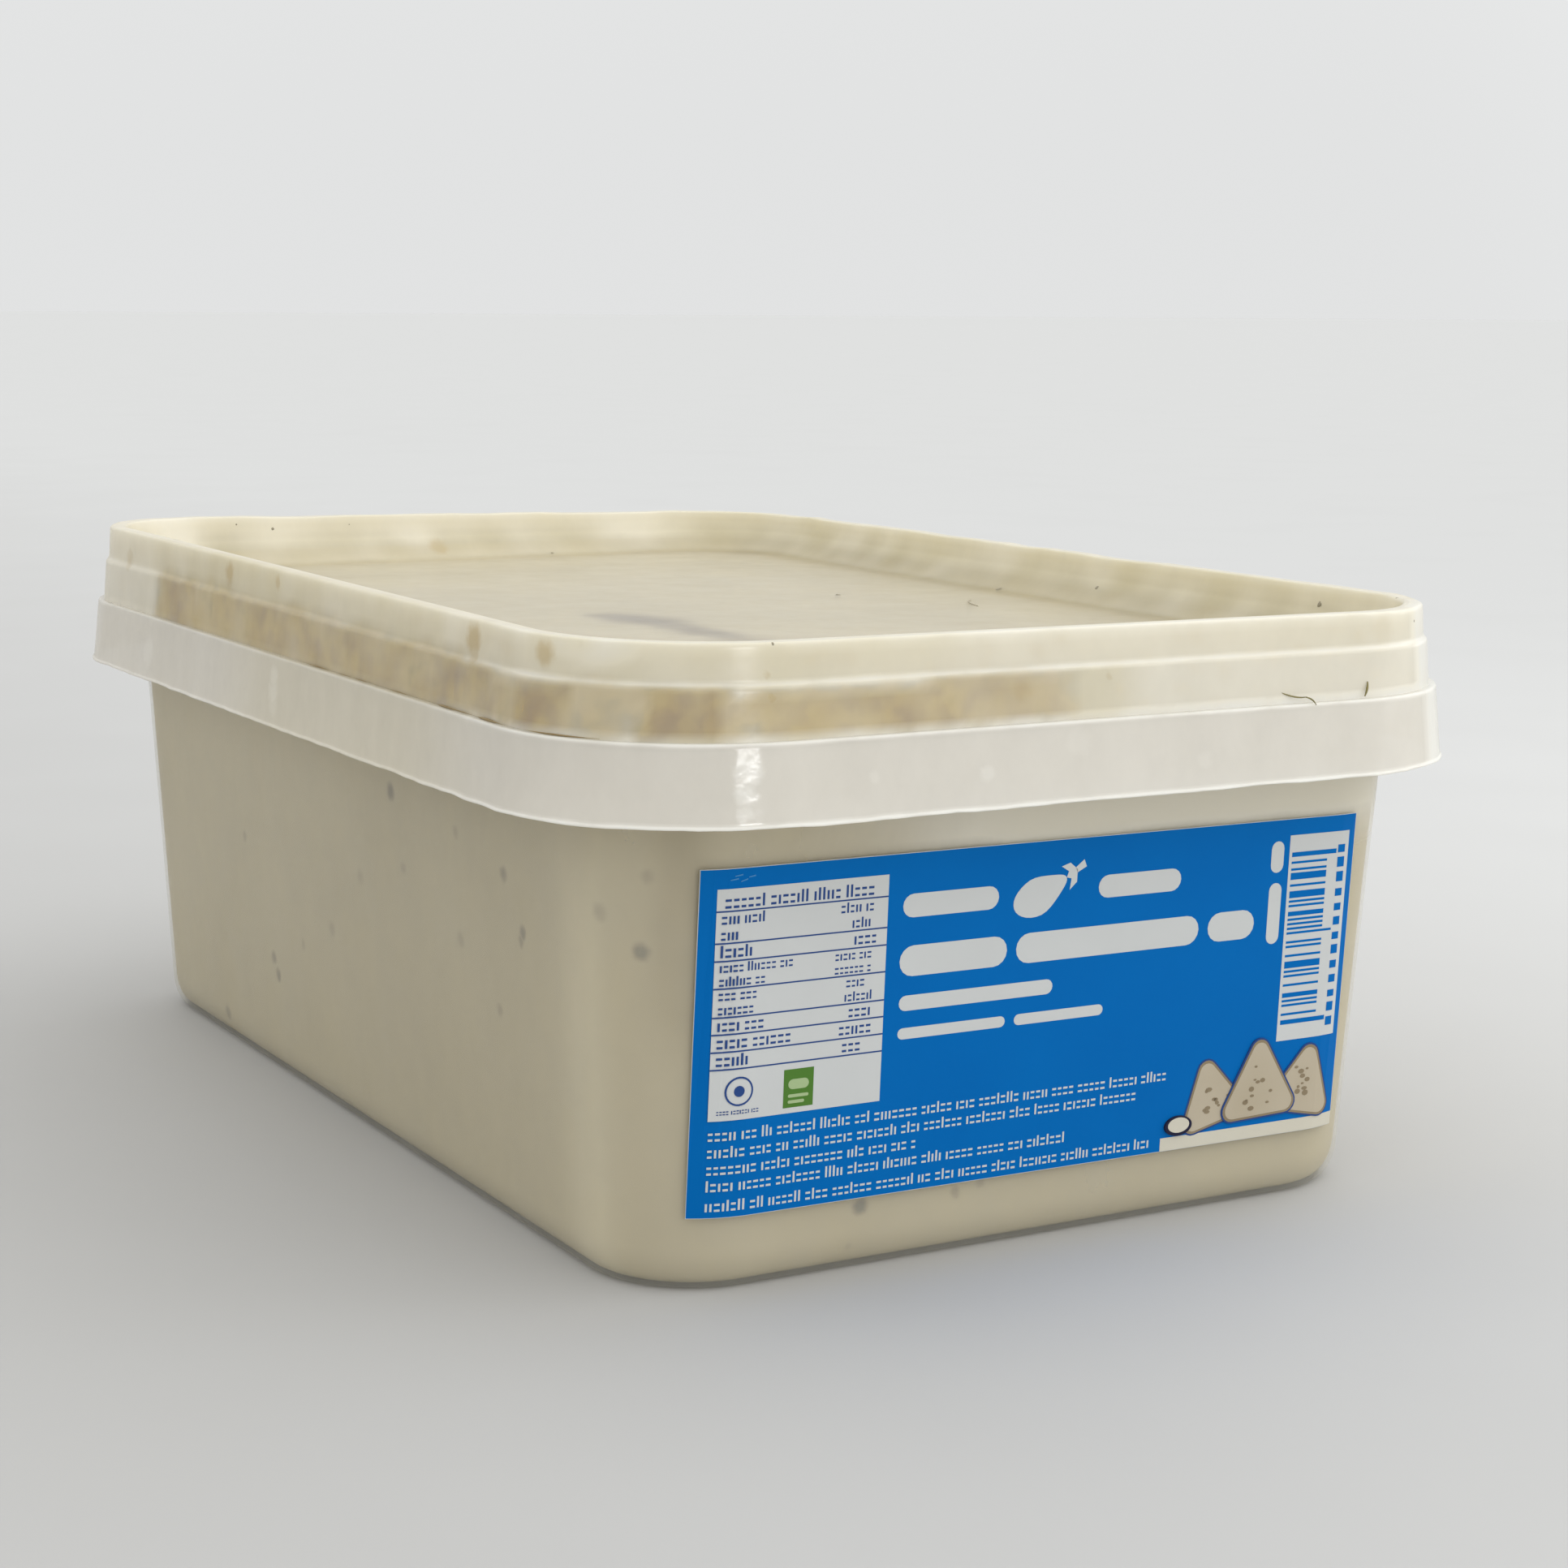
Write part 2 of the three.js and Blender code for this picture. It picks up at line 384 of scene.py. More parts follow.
def tub_shape(points, outward):
    """The skirt bows and its lower edge is uneven. The wall bows less, and not at the foot."""
    z = points[:, 2]
    far_out = beyond_ridge(points) > ON_SKIRT
    on_skirt = far_out * (z > SKIRT_BOTTOM - 1)
    sway = -np.abs(waves(points, 38, seed=1)) * SKIRT_WAVE
    skirt_bow = sway * falling(z, SKIRT_BOTTOM, SHELF_TOP) * on_skirt
    wall_bow = waves(points, 55, seed=2) * WALL_BOW * smoothstep(z, 3, 25) * (~far_out)
    moved = points.copy()
    moved[:, :2] += outward * (skirt_bow + wall_bow)[:, None]
    edge = falling(z, SKIRT_BOTTOM, SKIRT_BOTTOM + 2.5) * on_skirt
    ragged = waves(points, 9, seed=3) * 0.6 + waves(points, 2.5, seed=4) * 0.5
    moved[:, 2] += edge * ragged * SKIRT_EDGE_WAVE
    return moved


tub = shell("tub_moulding", tub_profile(), tub_shape)
report(tub)

# %% [markdown]
# ## The lid
#
# The lid is the other moulding: a sunken panel, a slanted wall up to a hollow ridge that clips over
# the tub's rim, and an outer skin with one little step in it. The ridge stands a few tenths of a
# millimetre higher on one side, because the lid is only pressed on.

# %% Loft the lid
PANEL_WAVE = 0.22        # how uneven the sunken panel is
RIDGE_SAG = 0.3          # how uneven the ridge's far side is
SKIN_BOW = 0.15          # how far the outer skin bows
LID_ROUND = 0.4          # radius of its edges


def lid_profile():
    return [np.array(row) for row in rows_of([
        (PANEL_OUTSET - 0.9, PANEL_TOP - WALL),
        (PANEL_OUTSET + 0.35, PANEL_TOP - WALL + 0.35),
        (SHOULDER_OUTSET + 0.75, SHOULDER_TOP - 0.5),
        (RIDGE_INNER + WALL, RIDGE_TOP - WALL),
        (-WALL, RIDGE_TOP - WALL),
        (STEP_OUTSET[1] - WALL, STEP_TOP - 0.2),
        (STEP_OUTSET[0] - WALL, STEP_BOTTOM - 0.2),
        (SKIN_OUTSET - WALL, LID_BOTTOM),
        (SKIN_OUTSET, LID_BOTTOM),
        (STEP_OUTSET[0], STEP_BOTTOM),
        (STEP_OUTSET[1], STEP_TOP),
        (0, RIDGE_TOP),
        (RIDGE_INNER, RIDGE_TOP),
        (SHOULDER_OUTSET + 0.35, SHOULDER_TOP + 1.5),
        (SHOULDER_OUTSET - 0.2, SHOULDER_TOP),
        (SHOULDER_OUTSET - 1.3, SHOULDER_TOP - 1.2),
        (PANEL_OUTSET, PANEL_TOP + 0.35),
        (PANEL_OUTSET - 0.9, PANEL_TOP),
    ])]


def panel_wave(points):
    """The panel's slow waves, which the dip under it follows."""
    return smoothstep(-beyond_ridge(points), 6.5, 16) * waves(points, 34, seed=5) * PANEL_WAVE


def lid_shape(points, outward):
    moved = points.copy()
    moved[:, 2] += ridge_lift(points)
    moved[:, 2] += panel_wave(points)
    sag = np.abs(waves(points, 11, seed=23)) * RIDGE_SAG * smoothstep(points[:, 2], 67.5, RIDGE_TOP)
    moved[:, 2] -= sag * far_side(points)
    bow = -np.abs(waves(points, 42, seed=6)) * SKIN_BOW * smoothstep(beyond_ridge(points), -3, -1)
    moved[:, :2] += outward * bow[:, None]
    return moved


lid = shell("lid_moulding", refined(softened(lid_profile(), LID_ROUND), 1.5), lid_shape)
report(lid)

# %% [markdown]
# ## The dip
#
# The tub is filled to the brim, and pressing the lid on squeezes dip up under the slanted wall of the
# lid. A fill that stopped at the inside of the wall would leave a thin gap that renders as a dark
# line, so the dip reaches half-way into the plastic, as liquids do in good glass models. Then a ray
# passes one skin of plastic and lands on dip, which is how a wetted wall looks.

# %% Loft the dip
INTO_WALL = 0.4
DIP_ROUND = 0.3


def dip_profile():
    inset = WALL - INTO_WALL
    body = wall_profile(inset, FLOOR - INTO_WALL, SHELF_TOP - 0.2)
    under_lid = rows_of([
        (wall_outset(SHELF_TOP) + 0.3, SHELF_TOP - 0.1),
        (RIM_OUTSET - WALL + 0.2, SHELF_TOP - 0.1),
        (RIM_OUTSET - WALL + 0.2, SHELF_TOP + 3.4),
        (SHOULDER_OUTSET - 0.4, SHELF_TOP + 5.1),
        (PANEL_OUTSET + 0.1, PANEL_TOP - 0.2),
        (PANEL_OUTSET - 1.2, PANEL_TOP - INTO_WALL),
    ])
    return body[:-1] + softened([body[-1], *under_lid], DIP_ROUND)


def dip_shape(points, _outward):
    moved = points.copy()
    moved[:, 2] += panel_wave(points) * (points[:, 2] > PANEL_TOP - 2)
    moved[:, 2] += ridge_lift(points)
    return moved


dip = shell("dip_fill", refined(dip_profile()), dip_shape)
report(dip)

# %% [markdown]
# ## Colours and nodes
#
# Colours are written as sRGB hex, as a paint chart gives them, and Cycles wants linear values, so one
# function turns them. A second small function adds a node: its settings, its input values and its
# links in one line. The few kinds of node that every material here uses have a function each, so that
# a material reads as a recipe.

# %% Colour and node helpers
def linear(hex_colour):
    """An sRGB hex colour as linear red, green, blue and alpha."""
    values = [int(hex_colour[i:i + 2], 16) / 255 for i in (1, 3, 5)]
    channels = [v / 12.92 if v <= 0.04045 else ((v + 0.055) / 1.055) ** 2.4 for v in values]
    return (*channels, 1.0)


def add(tree, kind, inputs=None, **settings):
    """Adds one node. An input is a value or another node's output, by name or number."""
    node = tree.nodes.new("ShaderNode" + kind)
    for name, value in settings.items():
        setattr(node, name, value)
    for name, value in (inputs or {}).items():
        if isinstance(value, bpy.types.NodeSocket):
            tree.links.new(value, node.inputs[name])
        else:
            node.inputs[name].default_value = value
    return node


def object_place(tree):
    return add(tree, "TexCoord").outputs["Object"]


def painted(tree, name):
    """A number that is painted on the mesh under that name."""
    return add(tree, "Attribute", attribute_name=name).outputs["Fac"]


def computed(tree, operation, *values, **settings):
    """One step of arithmetic on numbers or other nodes' outputs."""
    return add(tree, "Math", dict(enumerate(values)), operation=operation, **settings).outputs[0]


def ranged(tree, value, start, end, at_start=0.0, at_end=1.0, kind="LINEAR"):
    """Goes from one value to another while the input goes from start to end, and is held outside that."""
    inputs = {"Value": value, "From Min": start, "From Max": end, "To Min": at_start, "To Max": at_end}
    return add(tree, "MapRange", inputs, interpolation_type=kind).outputs[0]


def mixed(tree, share, first, second):
    """A colour between two others. Each is a hex colour or another node's output."""
    first, second = (linear(c) if isinstance(c, str) else c for c in (first, second))
    return add(tree, "Mix", {0: share, 6: first, 7: second}, data_type="RGBA").outputs[2]


def per_mm(size):
    """The scale that gives a pattern features of about that size in millimetres."""
    return 1 / (size * MM)


def clouds(tree, place, size, detail):
    """Smooth noise from 0 to 1, with features of about that size in millimetres."""
    return add(tree, "TexNoise", {"Vector": place, "Scale": per_mm(size), "Detail": detail}).outputs["Fac"]


def new_material(name):
    material = bpy.data.materials.new(name)
    material.use_nodes = True
    material.node_tree.nodes.clear()
    return material, material.node_tree


def show(tree, shader):
    add(tree, "OutputMaterial", {"Surface": shader})


print("a mid grey in linear light:", round(linear("#808080")[0], 3))

# %% [markdown]
# ## Spots
#
# Specks, stains and cloudy marks are all the same thing to a material: a soft round mask at a place on
# the object, with its edge pushed about a little by noise. One function makes the mask for a list of
# them, each given by its place, its radius in millimetres and its strength.

# %% A mask of soft spots
SPOT_CORE, SPOT_REACH = 0.35, 1.15    # parts of its radius between which a spot fades


def spots(tree, place, places, wander):
    """One mask from 0 to 1 for places given as (x, y, z, radius, strength)."""
    wave = add(tree, "TexNoise", {"Vector": place, "Scale": per_mm(1.3), "Detail": 2.0})
    centred = add(tree, "VectorMath", {0: wave.outputs["Color"], 1: (0.5, 0.5, 0.5)}, operation="SUBTRACT")
    moved = add(tree, "VectorMath", {0: centred.outputs[0], 1: (wander * MM,) * 3, 2: place},
                operation="MULTIPLY_ADD")
    mask = 0.0
    for x, y, z, radius, strength in places:
        middle = (x * MM, y * MM, z * MM)
        away = add(tree, "VectorMath", {0: moved.outputs[0], 1: middle}, operation="DISTANCE")
        core, reach = SPOT_CORE * radius * MM, SPOT_REACH * radius * MM
        spot = ranged(tree, away.outputs["Value"], core, reach, strength, 0.0, "SMOOTHSTEP")
        mask = computed(tree, "MAXIMUM", spot, mask)
    return mask


print("a radius of 1 mm fades between", SPOT_CORE, "and", SPOT_REACH, "mm")

# %% [markdown]
# ## Natural polypropylene
#
# Unpigmented polypropylene is half crystalline, so it scatters light and looks like thin milk. Moulded
# thin it passes about half of it. Its refractive index is about 1.49. The tub's mould is polished and
# the lid's is satin, so the tub is the glossier, and both have a ripple of a few hundredths of a
# millimetre that breaks up highlights. Three shaders carry that: *Transparent* for what goes straight
# through, *Translucent* for what comes out of the far side scattered, and a *Principled* surface for
# what scatters back and for the gloss. Volume scattering would be truer, but is slow in thin walls.
#
# Three attributes drive it, each painted on the mesh below: `wetted`, where dip lies against the wall
# and it is clearer, `oiled`, where oil has tinted it, and a third that whitens it at edges that are
# seen end on. The third also carries painted highlight and painted light: brighter edge lines on the
# lit front, a bright band on the far right corner, and light over the skirt's shade on the wall below.

# %% Make the polypropylene
OIL = "#E4DAB6"
STAIN = "#CBB279"
# the white of edges seen end on, and of the painted highlights and painted light
WHITE_AND_HIGHLIGHT = "#FBFAF4"
RIPPLE_SIZE, RIPPLE_DEPTH = 1.8, 0.025
GLOW = 0.3               # share of the scattered light that comes out of the far side


def polypropylene(name, wet, dry, stains, blooms_and_highlight, roughness):
    """wet and dry are the haze (0 to 1) and the milk's colour where dip wets the wall and elsewhere."""
    material, tree = new_material(name)
    place = object_place(tree)
    wetted, oiled, whitened_and_highlit = (painted(tree, rule) for rule in ("wetted", "oiled", "whitened_and_highlit"))
    haze = ranged(tree, wetted, 0.0, 1.0, dry[0], wet[0])
    stretched = add(tree, "VectorMath", {0: place, 1: (1.0, 1.0, 0.7)}, operation="MULTIPLY").outputs[0]
    cloudy = computed(tree, "SUBTRACT", clouds(tree, stretched, 8, 4.0), 0.5)
    cloudy = computed(tree, "MULTIPLY", cloudy, ranged(tree, wetted, 0.0, 1.0, 0.26, 0.2))
    # whitening from the painted attribute and from the spots: milkiness seen end on, flow marks, painted
    # highlight and painted light
    white = computed(tree, "MAXIMUM", whitened_and_highlit, spots(tree, place, blooms_and_highlight, 1.2))
    thick = computed(tree, "MULTIPLY_ADD", white, 0.5, cloudy)
    amount = computed(tree, "ADD", haze, thick, use_clamp=True)
    oily = mixed(tree, oiled, mixed(tree, wetted, dry[1], wet[1]), OIL)
    bare = computed(tree, "MULTIPLY", computed(tree, "SUBTRACT", 1.0, oiled), white)
    pale = mixed(tree, bare, oily, WHITE_AND_HIGHLIGHT)
    colour = mixed(tree, spots(tree, place, stains, 1.3), pale, STAIN)
    ripple = clouds(tree, place, RIPPLE_SIZE, 2.0)
    bump = add(tree, "Bump", {"Height": ripple, "Strength": 1.0, "Distance": RIPPLE_DEPTH * MM})
    surface = add(tree, "BsdfPrincipled", {"Base Color": colour, "Roughness": roughness, "IOR": 1.49,
                                           "Normal": bump.outputs[0]})
    glow = add(tree, "BsdfTranslucent", {"Color": colour})
    milk = add(tree, "MixShader", {0: GLOW, 1: surface.outputs[0], 2: glow.outputs[0]})
    clear = add(tree, "BsdfTransparent", {"Color": linear("#FFFFFF")})
    skin = add(tree, "MixShader", {0: amount, 1: clear.outputs[0], 2: milk.outputs[0]})
    show(tree, skin.outputs[0])
    return material


STAINS = (               # x, y, z, radius and strength: drops of oily dip behind the lid's ridge
    (-57.8, 19.5, 68.5, 1.8, 0.6), (-57.8, 1.8, 68.9, 1.1, 0.45), (-57.8, -58.0, 68.2, 2.2, 0.65),
    (-57.8, -58.4, 66.8, 1.4, 0.4), (-56.9, -73.9, 68.4, 1.7, 0.55), (-57.9, 61.3, 66.8, 1.6, 0.3),
    (-39.4, -88.8, 67.0, 0.5, 0.35), (-39.2, -89.5, 64.8, 0.5, 0.25), (-9.0, -89.5, 63.9, 1.5, 0.2),
    (-1.7, 83.8, 65.2, 1.9, 0.4), (40.7, -88.7, 67.8, 2.2, 0.1), (2.1, -89.6, 64.6, 0.5, 0.2),
)
SKIRT_BLOOMS_AND_HIGHLIGHT = (         # cloudy flow marks in the skirt, and three spots of painted highlight on its near corner
    (-28.0, -91.3, 56.1, 0.9, 0.1), (-14.3, -91.4, 55.5, 1.1, 0.2), (-2.6, -91.0, 58.2, 2.0, 0.08),
    (-60.5, 47.0, 55.6, 2.4, 0.2), (-60.2, -2.0, 57.8, 1.7, 0.25), (-60.3, -2.2, 56.0, 1.9, 0.25),
    (-60.3, -2.4, 54.4, 1.6, 0.15), (14.0, -91.3, 55.0, 1.2, 0.08),
    # painted highlight: these three whiten the skirt's corner where the window's streak falls
    (-42.2, -90.3, 57.7, 1.9, 0.4), (-42.6, -90.5, 55.4, 1.5, 0.35), (-42.8, -90.6, 53.4, 1.2, 0.25),
)
tub_plastic = polypropylene(
    "natural_polypropylene_tub", (0.3, "#DEDCD2"), (0.78, "#F2EEE5"), (), SKIRT_BLOOMS_AND_HIGHLIGHT, 0.09)
lid_plastic = polypropylene(
    "natural_polypropylene_lid", (0.4, "#D4D2C8"), (0.85, "#FAF5E6"), STAINS, (), 0.22)
print("polypropylene:", tub_plastic.name, "and", lid_plastic.name)

# %% [markdown]
# The attributes are painted by a rule of each point's place. `wetted` follows the dip: all of the
# wall, the sunken panel, and the patches where dip was squeezed out between the rim and the lid's
# outer skin. `oiled` and the whitening have rules of their own below, and the whitening's rules hold
# the painted highlights and painted light.
#
# The patches are listed by their place round the lid, in millimetres from the near corner: towards
# the right along the front, and the other way along the left side. Round the back, where any will do,
# they come from seeded noise.

# %% Where dip was squeezed out
PATCHES = (              # start, end, how much dip, how high it reaches
    (-131, -114, 0.78, 66), (-116, -109, 0.56, 66), (-111, -96, 0.66, 66), (-99, -83, 0.74, 66),
    (-86, -68, 0.7, 66), (-71, -60, 0.6, 66), (-63, -35, 0.74, 66), (-38, -27, 0.86, 66),
    (-31, -19, 0.74, 65.7), (-20, -11, 0.6, 65.2), (-14, -5, 0.92, 65.4), (-7, 3, 0.42, 65.8),
    (1.3, 10, 1.1, 65.7), (9.0, 13.5, 0.52, 64.5), (12.5, 36, 0.7, 65.0), (33, 51, 0.6, 65.6),
)
SEEN_FROM, SEEN_TO = -172, 115    # the patches above are the only ones between these places
CRISP_END, SOFT_END = 1.2, 2.5    # how far a patch fades at its ends: crisp just past the corner
CORE_X = RIDGE_WIDTH / 2 - RIDGE_CORNER
CORE_Y = RIDGE_LENGTH / 2 - RIDGE_CORNER
ROUND = 4 * (CORE_X + CORE_Y) + 2 * math.pi * RIDGE_CORNER
NEAR_CORNER = 2 * CORE_X + 3 * CORE_Y + RIDGE_CORNER * math.radians(225)


def around(points):
    """Distance round the ridge outline from the middle of the near corner, in millimetres."""
    x, y = np.clip(points[:, 0], -CORE_X, CORE_X), np.clip(points[:, 1], -CORE_Y, CORE_Y)
    turn = np.arctan2(points[:, 1] - y, points[:, 0] - x) % (2 * math.pi)
    side = np.round(turn / (math.pi / 2)) % 4
    straight = np.choose(side.astype(int), [
        y + np.where(turn > math.pi, 4 * (CORE_X + CORE_Y), 0),
        CORE_Y + CORE_X - x,
        2 * CORE_Y + 2 * CORE_X - y,
        3 * CORE_Y + 3 * CORE_X + x,
    ])
    return (straight + RIDGE_CORNER * turn - NEAR_CORNER + ROUND / 2) % ROUND - ROUND / 2


def squeezed(points):
    """How much dip lies behind the lid's outer skin at each point, from 0 to about 1."""
    s = around(points)
    z = points[:, 2] - ridge_lift(points)
    wander = waves(points * [1, 1, 0.5], 3.5, seed=8) * 2.4
    uneven = waves(points, 4, seed=11)
    listed = np.zeros(len(points))
    for start, end, amount, top in PATCHES:
        soft = CRISP_END if 0 < start < 20 else SOFT_END
        inside = smoothstep(s + wander, start - soft, start + soft)
        inside = inside * falling(s + wander, end - soft, end + soft)
        inside = inside * falling(z, top - 0.9 + 0.5 * uneven, top + 0.9 + 0.5 * uneven)
        listed = np.maximum(listed, amount * inside)
    seen = (s > SEEN_FROM) & (s < SEEN_TO)
    thick = 0.45 + 0.4 * waves(points * [1, 1, 0.4], 8, seed=19)
    here_and_there = waves(points * [1, 1, 0.3], 22, seed=9) + 0.1 * uneven
    elsewhere = smoothstep(here_and_there, -0.35, 0.1) * (thick + 0.25)
    elsewhere = elsewhere * falling(z, 64.9 + 0.5 * uneven, 66.5 + 0.5 * uneven)
    low = np.where(seen, listed, elsewhere)
    return np.clip(low * (1 + 0.4 * waves(points, 5, seed=18)), 0, 1.15)


probe = np.array([[-58.7, 45.8, 63], [-1.9, -89.8, 63], [58, 0, 63]])
print("places round the lid:", np.round(around(probe), 1), "squeezed:", np.round(squeezed(probe), 2))

# %% Paint the plastic
def paint(piece, name, rule):
    """Stores rule(points in mm) on the mesh as a number at each point."""
    points = np.zeros(len(piece.data.vertices) * 3)
    piece.data.vertices.foreach_get("co", points)
    values = rule(points.reshape(-1, 3) / MM)
    layer = piece.data.attributes.new(name, "FLOAT", "POINT")
    layer.data.foreach_set("value", np.asarray(values, np.float32))
    print(f"{piece.name}: {name} from {values.min():.2f} to {values.max():.2f}")


def air_pocket(points):
    """Air between wall and dip under the skirt, along the right of the front wall."""
    on_front = smoothstep(-points[:, 1], 76, 80) * smoothstep(points[:, 0], -36, -2)
    rising = 2.5 * smoothstep(-points[:, 0], 2, 22)
    line = 44.5 + rising + waves(points * [1, 1, 0], 9, seed=12) * 1.2
    return on_front * smoothstep(points[:, 2], line - 1.5, line + 1.5) * (beyond_ridge(points) < ON_WALL)


def tub_wetted(points):
    """Dip wets the wall up to an uneven line under the shelf, but not in the air pocket."""
    line = 57 + waves(points * [1, 1, 0], 16, seed=7)
    below = falling(points[:, 2], line - 1, line + 1) * (beyond_ridge(points) < ON_WALL)
    return below * (1 - 0.8 * air_pocket(points))


def tub_oiled(points):
    """A little oil tints the air pocket, and the middle of the skirt's left side."""
    s = around(points)
    left = smoothstep(s, -110, -80) * falling(s, -45, -15) * (beyond_ridge(points) > ON_SKIRT)
    return np.maximum(0.6 * air_pocket(points), 0.3 * left)


def lid_wetted(points):
    """The lid is wetted by squeezed dip behind its skin, on its panel, and in spots on its slanted wall."""
    beyond = beyond_ridge(points)
    inner = 0.4 * smoothstep(-beyond, 3.3, 5.2) + 0.3 * smoothstep(-beyond, 5.8, 7.5)
    patchy = 0.16 + 0.45 * waves(points * [1, 1, 0.6], 7, seed=22)
    inner = inner + far_side(points) * patchy * smoothstep(-beyond, 2.2, 3.2) * smoothstep(beyond, -7.5, -5.5)
    return np.where(beyond > ON_SKIN, squeezed(points), inner)


def lid_oiled(points):
    """Oil tints the band above the step, most on the left and round the near corner, and the recess."""
    beyond = beyond_ridge(points)
    z = points[:, 2] - ridge_lift(points)
    s = around(points)
    drift = waves(points, 15, seed=15)
    left = smoothstep(s, -150, -120) * falling(s, -5, 45)
    upper = smoothstep(z, 65.2, 66.2)
    below = (0.28 + 0.26 * smoothstep(s, -10, 15)) * squeezed(points)
    beside = 0.45 * smoothstep(s, 46, 51) * falling(s, 54, 62)
    blotch = waves(points * [1, 1, 0.8], 5, seed=26)
    outside = (0.18 + 0.15 * drift) * upper + left * (0.32 + 0.3 * drift + 0.3 * blotch)
    outside = outside + np.maximum(below, beside * (1 - upper))
    patchy = 0.35 * waves(points * [1, 1, 0.6], 7, seed=22) * smoothstep(beyond, -8, -5)
    behind = falling(z, 65.9 + 0.9 * drift, 67.6 + 0.9 * drift)
    beside_wall = 0.3 * smoothstep(points[:, 0], 30, 52)
    recess = 0.5 + 0.25 * drift + (0.15 * behind + patchy + beside_wall - 0.23) * far_side(points)
    recess = recess * smoothstep(-beyond, 1.6, 2.4) * smoothstep(beyond, -14, -6)
    return np.clip(np.where(beyond > ON_SKIN, outside, recess), 0, 1)


# The edges are whiter: partly their own milkiness seen end on, partly painted highlight.
TUB_EDGES = (            # outset, height, strength and reach of each whitened edge
    (SKIRT_OUTSET[0] - 0.1, SKIRT_BOTTOM + 0.15, 0.9, 0.35),
    (SKIRT_OUTSET[1] - 0.1, SHELF_TOP, 0.7, 0.35),
)
# On the lid: painted highlight along the ridge's top edges, and painted light that fills the crevice's shade
# at the lid's lower edge.
LID_EDGES = (
    (STEP_OUTSET[1] + 0.1, STEP_TOP, 0.7, 0.3),
    (-0.6, RIDGE_TOP, 0.6, 0.8),
    (SKIN_OUTSET, SHELF_TOP + 0.1, 1.2, 0.3),
    (RIDGE_INNER, RIDGE_TOP, 0.4, 0.5),
)
PAINTED_CORNER_HIGHLIGHT = (101, 112)    # from and to, round the ridge
WHITER_RIDGE_CORNER = (-9, -1)


def edges_of(points, places):
    """Strong on moulded edges at those outsets and heights, and fading beside them: milkiness and painted
    highlight.
    """
    beyond = beyond_ridge(points)
    z = points[:, 2] - ridge_lift(points)
    s = around(points)
    # painted highlight: the edges are bright along the lit front and faint on the left and at the back
    seen = 0.2 + 0.8 * smoothstep(s, -50, 5) * falling(s, 106, 118)
    rough = (0.75 + 0.5 * waves(points, 3, seed=16)) * seen
    near = [strength * np.exp(-(np.hypot(beyond - outset, z - height) / reach) ** 2)
            for outset, height, strength, reach in places]
    return np.clip(np.max(near, axis=0) * rough, 0, 1)


def painted_corner_highlight(points):
    """Painted highlight: a bright band on the far right corner, where the wall is seen end on."""
    start, end = PAINTED_CORNER_HIGHLIGHT
    s = around(points)
    band = smoothstep(s, start - 0.7, start + 0.7) * falling(s, end - 2, end + 2)
    return 0.9 * band * (beyond_ridge(points) > ON_SKIN)


def whiter_ridge_corner(points):
    """A whiter patch on the ridge, at the near corner."""
    start, end = WHITER_RIDGE_CORNER
    s = around(points)
    z = points[:, 2] - ridge_lift(points)
    cloud = smoothstep(waves(points * [1, 1, 1.5], 4, seed=17) + 0.3, -0.5, 0.8)
    band = smoothstep(s, start - 4, start + 5) * falling(s, end - 5, end + 6)
    return 1.3 * band * cloud * smoothstep(z, 66.8, 68.8) * (beyond_ridge(points) > ON_SKIN)


def tub_whitened_and_highlit(points):
    # painted light: the air pocket is whitened strongly, which takes out most of the skirt's shade on the
    # wall below it
    return np.max([edges_of(points, TUB_EDGES), painted_corner_highlight(points), 0.88 * air_pocket(points)], axis=0)


def lid_whitened_and_highlit(points):
    return np.max([edges_of(points, LID_EDGES), painted_corner_highlight(points), whiter_ridge_corner(points)], axis=0)


for name, tub_rule, lid_rule in (
    ("wetted", tub_wetted, lid_wetted),
    ("oiled", tub_oiled, lid_oiled),
    ("whitened_and_highlit", tub_whitened_and_highlit, lid_whitened_and_highlit),
):
    paint(tub, name, tub_rule)
    paint(lid, name, lid_rule)

# %% [markdown]
# ## The purée
#
# Aubergine dip is roasted flesh beaten with sesame paste: a grey-beige emulsion, moist and dense. Up
# close it has faint cloudiness and dark specks of pepper and skin, a few tenths of a millimetre
# across. The specks are a *Voronoi* pattern: one dot in each cell, shrunk to nothing in most of them.
#
# Two attributes are painted on the dip itself. The first drifts its tone and holds painted light and
# painted shade: paler high on the wall against the skirt's shade, a painted reflection down the near
# corner, and painted shade just left of the label and along the foot of the lid's far inner wall. The
# second, `smeared`, is a streak of darker flesh under the panel.

